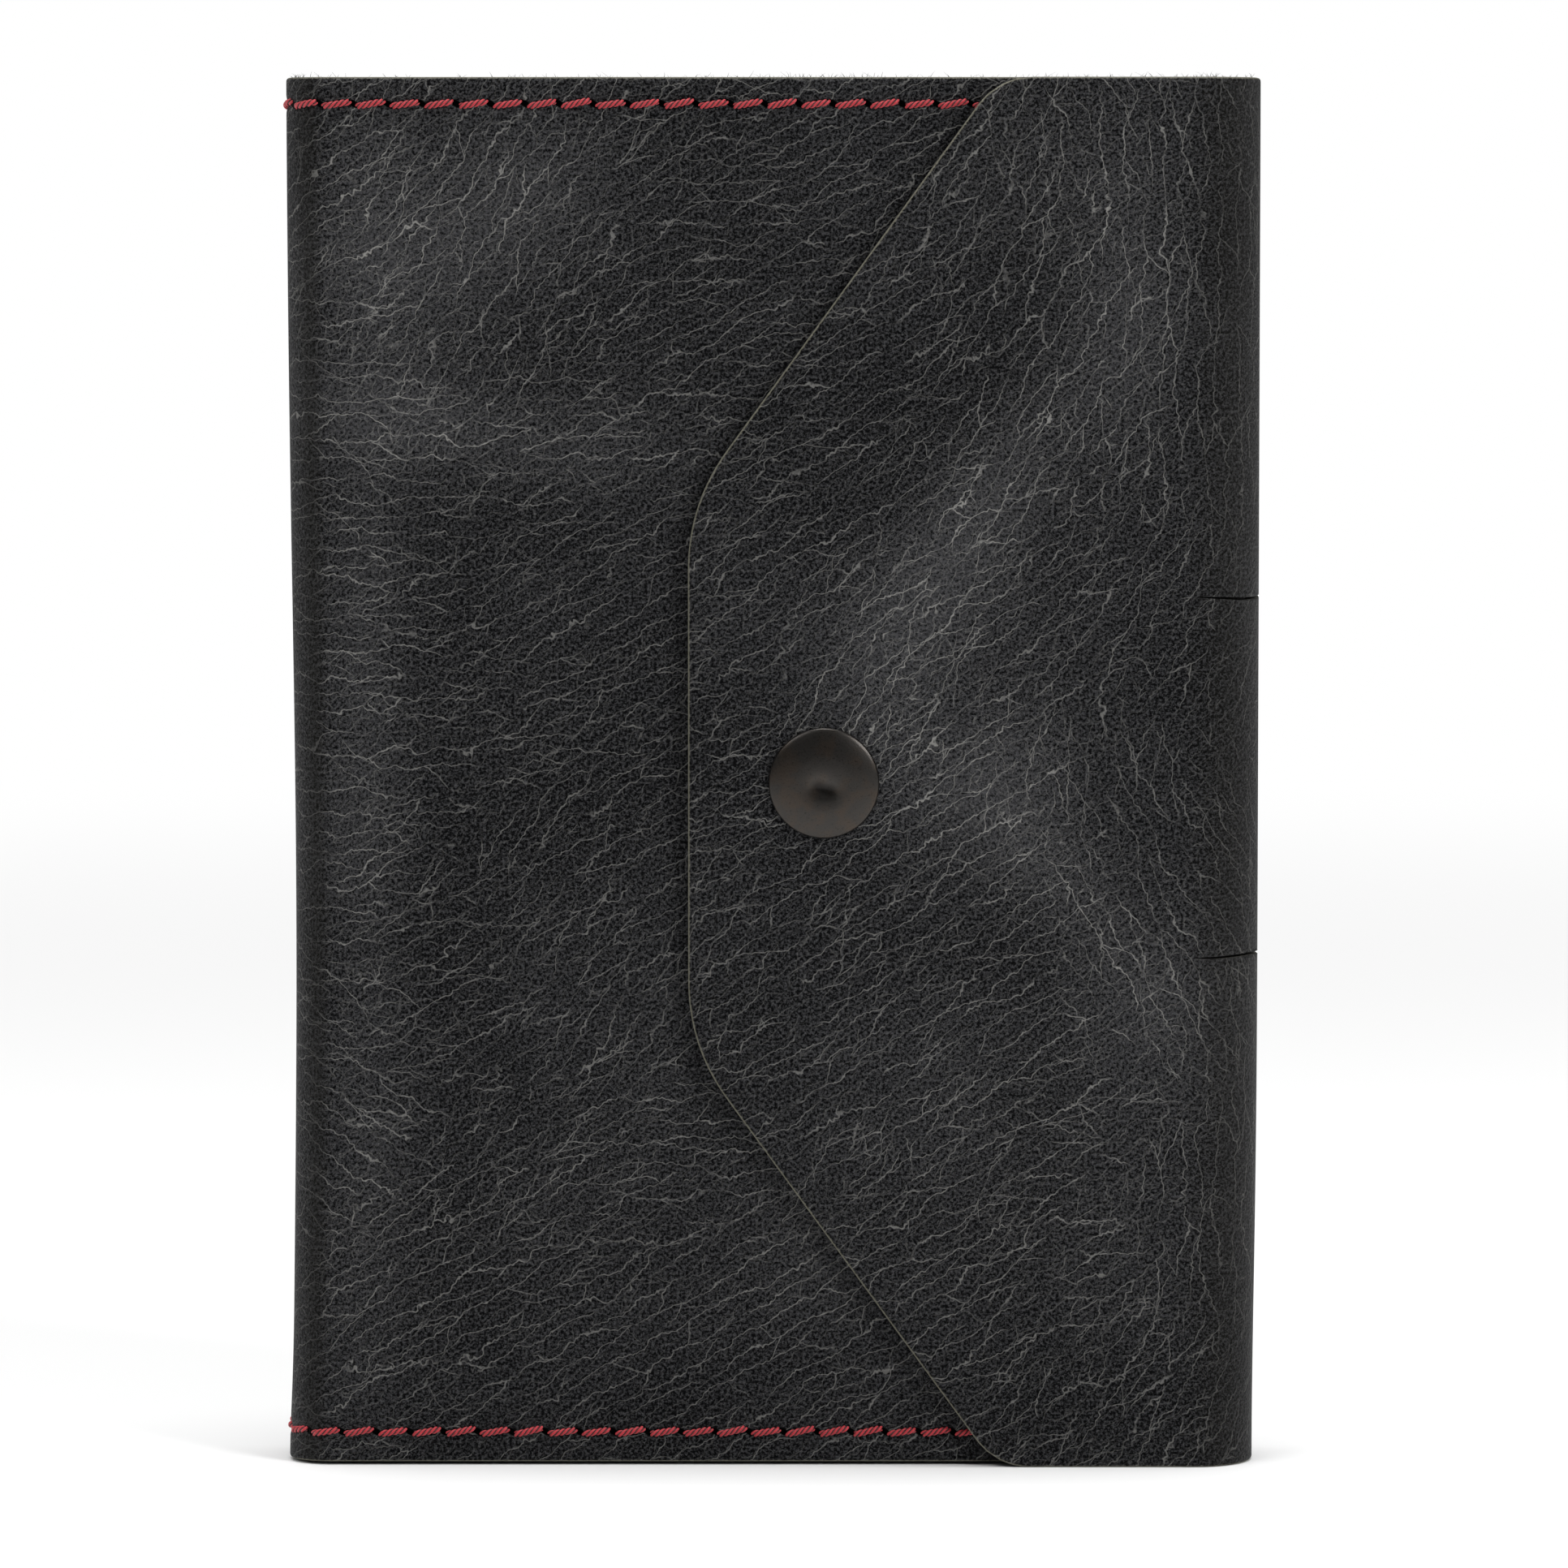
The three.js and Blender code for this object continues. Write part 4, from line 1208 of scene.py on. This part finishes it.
# Dents of the cap: (x, z, half width, half height, depth) from the snap's axis.
DENTS = [(-0.55, -0.45, 1.0, 0.9, 0.24), (0.6, -0.75, 0.9, 0.8, 0.16), (0.0, -0.8, 2.6, 2.0, 0.16)]


def dented(x, y, z):
    """Cap's top with the shallow dents of the press tool, just below its middle."""
    on_top = y < FLAP_Y - 0.9
    sunk = np.zeros(y.shape)
    for dent_x, dent_z, wide, tall, depth in DENTS:
        off = ((x - SNAP_X - dent_x) / wide) ** 2 + ((z - SNAP_Z - dent_z) / tall) ** 2
        sunk += depth * np.exp(-off)
    return y + np.where(on_top, sunk, 0)


def gunmetal_material():
    """Blackened brass: satin, with brown patches and specks."""
    g = Graph("gunmetal")
    local = g.attribute("local", "Vector")
    patch = g.noise(local, 0.35, 3.0, 0.6)
    speck = g.noise(local, 5.0, 3.0, 0.7)
    scratch = g.noise(g.vector("MULTIPLY", local, (1.0, 7.0, 1.0)), 2.2, 3.0, 0.6)
    base = g.mix(g.ramp(patch, 0.42, 0.66), rgb(56, 54, 52), rgb(62, 56, 51))
    dark = g.ramp(speck, 0.30, 0.44, 0.55, 0.0)
    colour = g.mix(dark, base, rgb(30, 28, 27))
    # The first two dents are painted near black: a painted dark reflection in their hollows.
    for dent_x, dent_z, wide, tall, depth in DENTS[:2]:
        off = g.vector("SUBTRACT", local, (dent_x, dent_z, 0.0))
        off = g.vector("LENGTH", g.vector("MULTIPLY", off, (1 / wide, 1 / tall, 0.0)))
        colour = g.mix(g.ramp(off, 0.2, 1.3, 0.6, 0.0), colour, rgb(16, 15, 15))
    rough = g.math("ADD", 0.22, g.math("MULTIPLY", speck, 0.16))
    rough = g.math("ADD", rough, g.math("MULTIPLY", scratch, 0.08))
    g.set(Base_Color=colour, Roughness=rough, Normal=g.bump(speck, 0.00002, 0.5))
    g.set(Metallic=1.0)
    return g.material


def spring_material():
    """Nickelled spring wire with fine drawn lines."""
    g = Graph("spring_wire")
    local = g.attribute("local", "Vector")
    drawn = g.noise(g.vector("MULTIPLY", local, (1.0, 1.0, 9.0)), 4.0, 2.0, 0.5)
    colour = g.mix(drawn, rgb(150, 147, 142), rgb(196, 193, 188))
    g.dress(colour, drawn, 0.25, 0.4, drawn, 0.00002, 0.4)
    g.set(Metallic=1.0)
    return g.material


GUNMETAL_LOOK = gunmetal_material()
SPRING_LOOK = spring_material()


def snap_cap():
    dome = [(5.75, 0.66), (5.3, 0.80), (4.7, 0.93), (4.0, 1.05), (3.2, 1.16)]
    top = [(r, 1.30 - 0.14 * (r / 3.2) ** 2) for r in np.arange(3.0, 0.05, -0.2)]
    rim = [(1.8, -0.5), (1.8, 0.1), (5.7, 0.1), (6.05, 0.12), (6.23, 0.26), (6.22, 0.42), (6.05, 0.56)]
    profile = [(r, FLAP_Y - h) for r, h in [*rim, *dome, *top, (0.02, 1.30)]]
    turned("snap_cap", profile, GUNMETAL_LOOK, "flap", 128, shape=dented)


def snap_socket():
    low, high = box_mm("snap_socket")
    plate, groove = low[1] + 0.2, 0.45
    profile = softened([
        (2.7, high[1]), (4.7, high[1]), (5.2, high[1] - 0.2), (5.2, low[1]), (2.1, low[1]),
        (2.1, plate), (3.6, plate), (3.6, plate + groove), (2.7, plate + groove + 0.1), (2.7, high[1]),
    ], 0.12)
    turned("snap_socket", profile, GUNMETAL_LOOK, "flap")


def snap_spring():
    low, high = box_mm("snap_spring")
    y, ring, wire = (low[1] + high[1]) / 2, (high[0] - low[0]) / 2, 0.14
    angles = np.linspace(0, 2 * np.pi, 12, endpoint=False)
    profile = [(ring - wire + wire * math.cos(a), y + wire * math.sin(a)) for a in angles]
    turned("snap_spring", profile, SPRING_LOOK, "flap", closed=True)


def snap_stud():
    low, high = box_mm("snap_stud")
    flange = high[1] - 0.3
    profile = softened([
        (1.3, high[1]), (4.2, high[1]), (4.2, flange + 0.08), (3.6, flange), (2.0, flange),
        (1.7, flange - 0.15), (1.7, low[1] + 0.5), (2.08, low[1] + 0.33), (2.08, low[1] + 0.15),
        (1.8, low[1]), (1.3, low[1]), (1.3, high[1]),
    ], 0.1)
    turned("snap_stud", profile, GUNMETAL_LOOK, "front")


def snap_post():
    low, high = box_mm("snap_post")
    flange = high[1] - 0.3
    profile = softened([
        (0.02, high[1] - 0.05), (3.9, high[1]), (4.6, high[1] - 0.1), (4.6, flange), (1.0, flange),
        (1.0, low[1] + 0.1), (0.8, low[1]), (0.02, low[1]),
    ], 0.1)
    turned("snap_post", profile, GUNMETAL_LOOK, "front")


# ---- Notebook ------------------------------------------------------------------------------------


def loft(name, xs, y0, y1, z0, z1, edge_r, corner_r, materials, bodies, node):
    """Slab built of rounded rings along x; its corners at the far end are rounded too."""
    rings = []
    arc_t = np.linspace(0, np.pi / 2, 4)
    for x in xs:
        into = np.clip(corner_r - (xs[-1] - x), 0, corner_r)
        drop = corner_r - math.sqrt(corner_r ** 2 - into ** 2)
        ease = edge_r - math.sqrt(max(edge_r ** 2 - np.clip(edge_r - (xs[-1] - x), 0, edge_r) ** 2, 0))
        low_y, high_y, low_z, high_z = y0 + ease, y1 - ease, z0 + drop + ease, z1 - drop - ease
        across = np.linspace(low_z + edge_r, high_z - edge_r, 24)
        ring = []
        for cy, cz, turn in (
            (high_y - edge_r, high_z - edge_r, 0), (low_y + edge_r, high_z - edge_r, 1),
            (low_y + edge_r, low_z + edge_r, 2), (high_y - edge_r, low_z + edge_r, 3),
        ):
            for t in arc_t:
                angle = t + turn * np.pi / 2
                ring.append((x, cy + edge_r * math.cos(angle), cz + edge_r * math.sin(angle)))
            if turn in (1, 3):
                level = low_y if turn == 1 else high_y
                path = across[::-1] if turn == 1 else across
                ring.extend((x, level, z) for z in path[1:-1])
        rings.append(ring)
    points = np.array(rings)
    count = points.shape[1]
    grid = np.arange(points.shape[0] * count).reshape(points.shape[0], count)
    after = np.roll(grid, -1, axis=1)
    quads = np.stack([grid[:-1], grid[1:], after[1:], after[:-1]], axis=-1).reshape(-1, 4).tolist()
    faces = [*quads, grid[0].tolist(), grid[-1][::-1].tolist()]
    mesh = bpy.data.meshes.new(name)
    flat = points.reshape(-1, 3)
    mesh.from_pydata((flat * MM).tolist(), [], faces)
    place = mesh.attributes.new("place", "FLOAT_VECTOR", "POINT")
    place.data.foreach_set("vector", flat.astype(np.float32).ravel())
    for material in materials:
        mesh.materials.append(material)
    mesh.polygons.foreach_set("use_smooth", [True] * len(quads) + [False, False])
    mesh.update()
    obj = placed(name, mesh)
    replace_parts(obj, node)
    if len(bodies) == 1:
        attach(obj, bodies[0])
    return obj


def paper_material():
    """Cream pages: fine leaf lines on the cut edges, plain with a slight mottle on the faces."""
    g = Graph("paper_cream")
    place = g.attribute("place", "Vector")
    leaves = g.noise(g.vector("MULTIPLY", place, (0.04, 9.0, 0.04)), 1.6, 3.0, 0.7)
    mottle = g.noise(place, 0.9, 4.0, 0.6)
    tone = g.both(leaves, 0.8, mottle, 0.25)
    colour = g.mix(tone, rgb(224, 217, 200), rgb(243, 238, 223))
    g.dress(colour, mottle, 0.82, 0.92, leaves, 0.00008, 0.7)
    return g.material


def book_cloth_material():
    """Dark book cloth with a fine weave."""
    g = Graph("book_cloth")
    place = g.attribute("place", "Vector")
    warp = g.math("SINE", g.math("MULTIPLY", g.node("ShaderNodeSeparateXYZ", {0: place}).outputs[0], 12.0))
    weft = g.math("SINE", g.math("MULTIPLY", g.node("ShaderNodeSeparateXYZ", {0: place}).outputs[2], 12.0))
    weave = g.math("MULTIPLY", warp, weft)
    slub = g.noise(place, 0.8, 4.0, 0.6)
    tone = g.math("ADD", g.math("MULTIPLY", weave, 0.22), slub, clamp=True)
    colour = g.mix(tone, rgb(18, 19, 22), rgb(50, 52, 58))
    g.dress(colour, slub, 0.66, 0.82, weave, 0.00004, 0.6)
    return g.material


PAPER_LOOK = paper_material()
CLOTH_LOOK = book_cloth_material()


END_STEPS = np.array([3.2, 2.2, 1.3, 0.7, 0.35, 0.15, 0.05, 0])


def make_notebook():
    for side in ("front", "back"):
        low, high = box_mm(f"notebook_{side}_board")
        xs = np.concatenate([spaced(low[0], high[0] - 4, 3.0), high[0] - END_STEPS])
        loft(f"board_{side}", xs, low[1], high[1], low[2], high[2], 0.3, 3.5, [CLOTH_LOOK], (side,),
             f"notebook_{side}_board")
        low, high = box_mm(f"pages_{side}")
        start = box_mm("notebook_spine")[1][0] + 0.15
        near, far = spaced(start, start + 12, 0.6), spaced(start + 13, high[0] - 4, 3.0)
        xs = np.concatenate([near, far, high[0] - END_STEPS])
        pages = loft(f"page_block_{side}", xs, low[1], high[1], low[2], high[2], 0.12, 3.0, [PAPER_LOOK],
                     ("spine", side), f"pages_{side}")
        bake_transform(pages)
    low, high = box_mm("notebook_spine")
    xs = np.linspace(low[0], high[0], 6)
    loft("notebook_spine_strip", xs, low[1], high[1], low[2], high[2], 0.3, 0.3, [CLOTH_LOOK], ("spine",),
         "notebook_spine")


# ---- Stage ---------------------------------------------------------------------------------------

EYE_HEIGHT = 140.0
EYE_DISTANCE = 875.0
EYE_X = 1.3
PITCH_DOWN = 3.6
LENS = 178.85
SENSOR = 36.0
SHIFT_DOWN = -0.0416
FLOOR_HALF = 3000.0


def aim(obj, target):
    """Turns a light towards a point in metres."""
    direction = obj.location - target
    obj.rotation_euler = direction.to_track_quat("Z", "Y").to_euler()


def make_camera():
    data = bpy.data.cameras.new("camera")
    data.lens = LENS
    data.sensor_width = SENSOR
    data.shift_y = SHIFT_DOWN
    camera = placed("camera", data)
    camera.location = (EYE_X * MM, (FLAP_Y - EYE_DISTANCE) * MM, EYE_HEIGHT * MM)
    camera.rotation_euler = (math.radians(90 - PITCH_DOWN), 0, 0)
    bpy.context.scene.camera = camera


def area_light(name, location, size, power, target=(0, 0, 0.08)):
    data = bpy.data.lights.new(name, "AREA")
    data.shape = "RECTANGLE"
    data.size, data.size_y = size
    data.energy = power
    light = placed(name, data)
    light.location = location
    aim(light, Vector(target))


def make_lights():
    area_light("key", (0.95, -0.85, 0.85), (0.45, 0.45), 13.5)
    area_light("left_key", (-0.7, -0.7, 1.1), (0.6, 0.4), 5)
    area_light("left_strip", (-1.1, 0.25, 0.25), (0.5, 0.9), 4)
    area_light("right_strip", (1.1, 0.3, 0.25), (0.5, 0.9), 3)
    data = bpy.data.lights.new("overhead", "SUN")
    data.energy = 3.1
    data.angle = math.radians(25)
    placed("overhead", data)


def make_world():
    """White to the camera, gentler as light."""
    world = bpy.data.worlds.new("studio")
    world.use_nodes = True
    nodes, links = world.node_tree.nodes, world.node_tree.links
    background = nodes["Background"]
    output = nodes["World Output"]
    seen = nodes.new("ShaderNodeBackground")
    seen.inputs["Color"].default_value = (1, 1, 1, 1)
    seen.inputs["Strength"].default_value = 1.0
    background.inputs["Color"].default_value = (1, 1, 1, 1)
    background.inputs["Strength"].default_value = 0.14
    path = nodes.new("ShaderNodeLightPath")
    mixer = nodes.new("ShaderNodeMixShader")
    links.new(path.outputs["Is Camera Ray"], mixer.inputs[0])
    links.new(background.outputs[0], mixer.inputs[1])
    links.new(seen.outputs[0], mixer.inputs[2])
    links.new(mixer.outputs[0], output.inputs["Surface"])
    bpy.context.scene.world = world


def make_floor():
    """Glossy white floor that glows far from the object, so that no horizon shows."""
    g = Graph("floor_white")
    g.set(Base_Color=(0.9, 0.9, 0.9, 1), Roughness=0.16)
    g.set(IOR=1.1)
    position = g.node("ShaderNodeTexCoord").outputs["Object"]
    far = g.ramp(g.vector("LENGTH", position), 0.25, 1.1)
    glow = g.node("ShaderNodeEmission", {"Color": (1, 1, 1, 1), "Strength": 1.0})
    mixer = g.node("ShaderNodeMixShader", {0: far, 1: g.shader.outputs[0], 2: glow.outputs[0]})
    g.tree.links.new(mixer.outputs[0], g.tree.nodes["Material Output"].inputs["Surface"])
    floor = new_object(
        "floor",
        [(FLOOR_HALF * x, FLOOR_HALF * y, 0) for x, y in ((-1, -1), (1, -1), (1, 1), (-1, 1))],
        [(0, 1, 2, 3)],
        [g.material],
        smooth_faces=False,
    )


make_cover()
back_pocket()
make_stitches()
for make_piece in (snap_cap, snap_socket, snap_spring, snap_stud, snap_post):
    make_piece()
make_notebook()
make_floor()
make_lights()
make_world()
make_camera()
bpy.context.scene.view_settings.view_transform = "Standard"
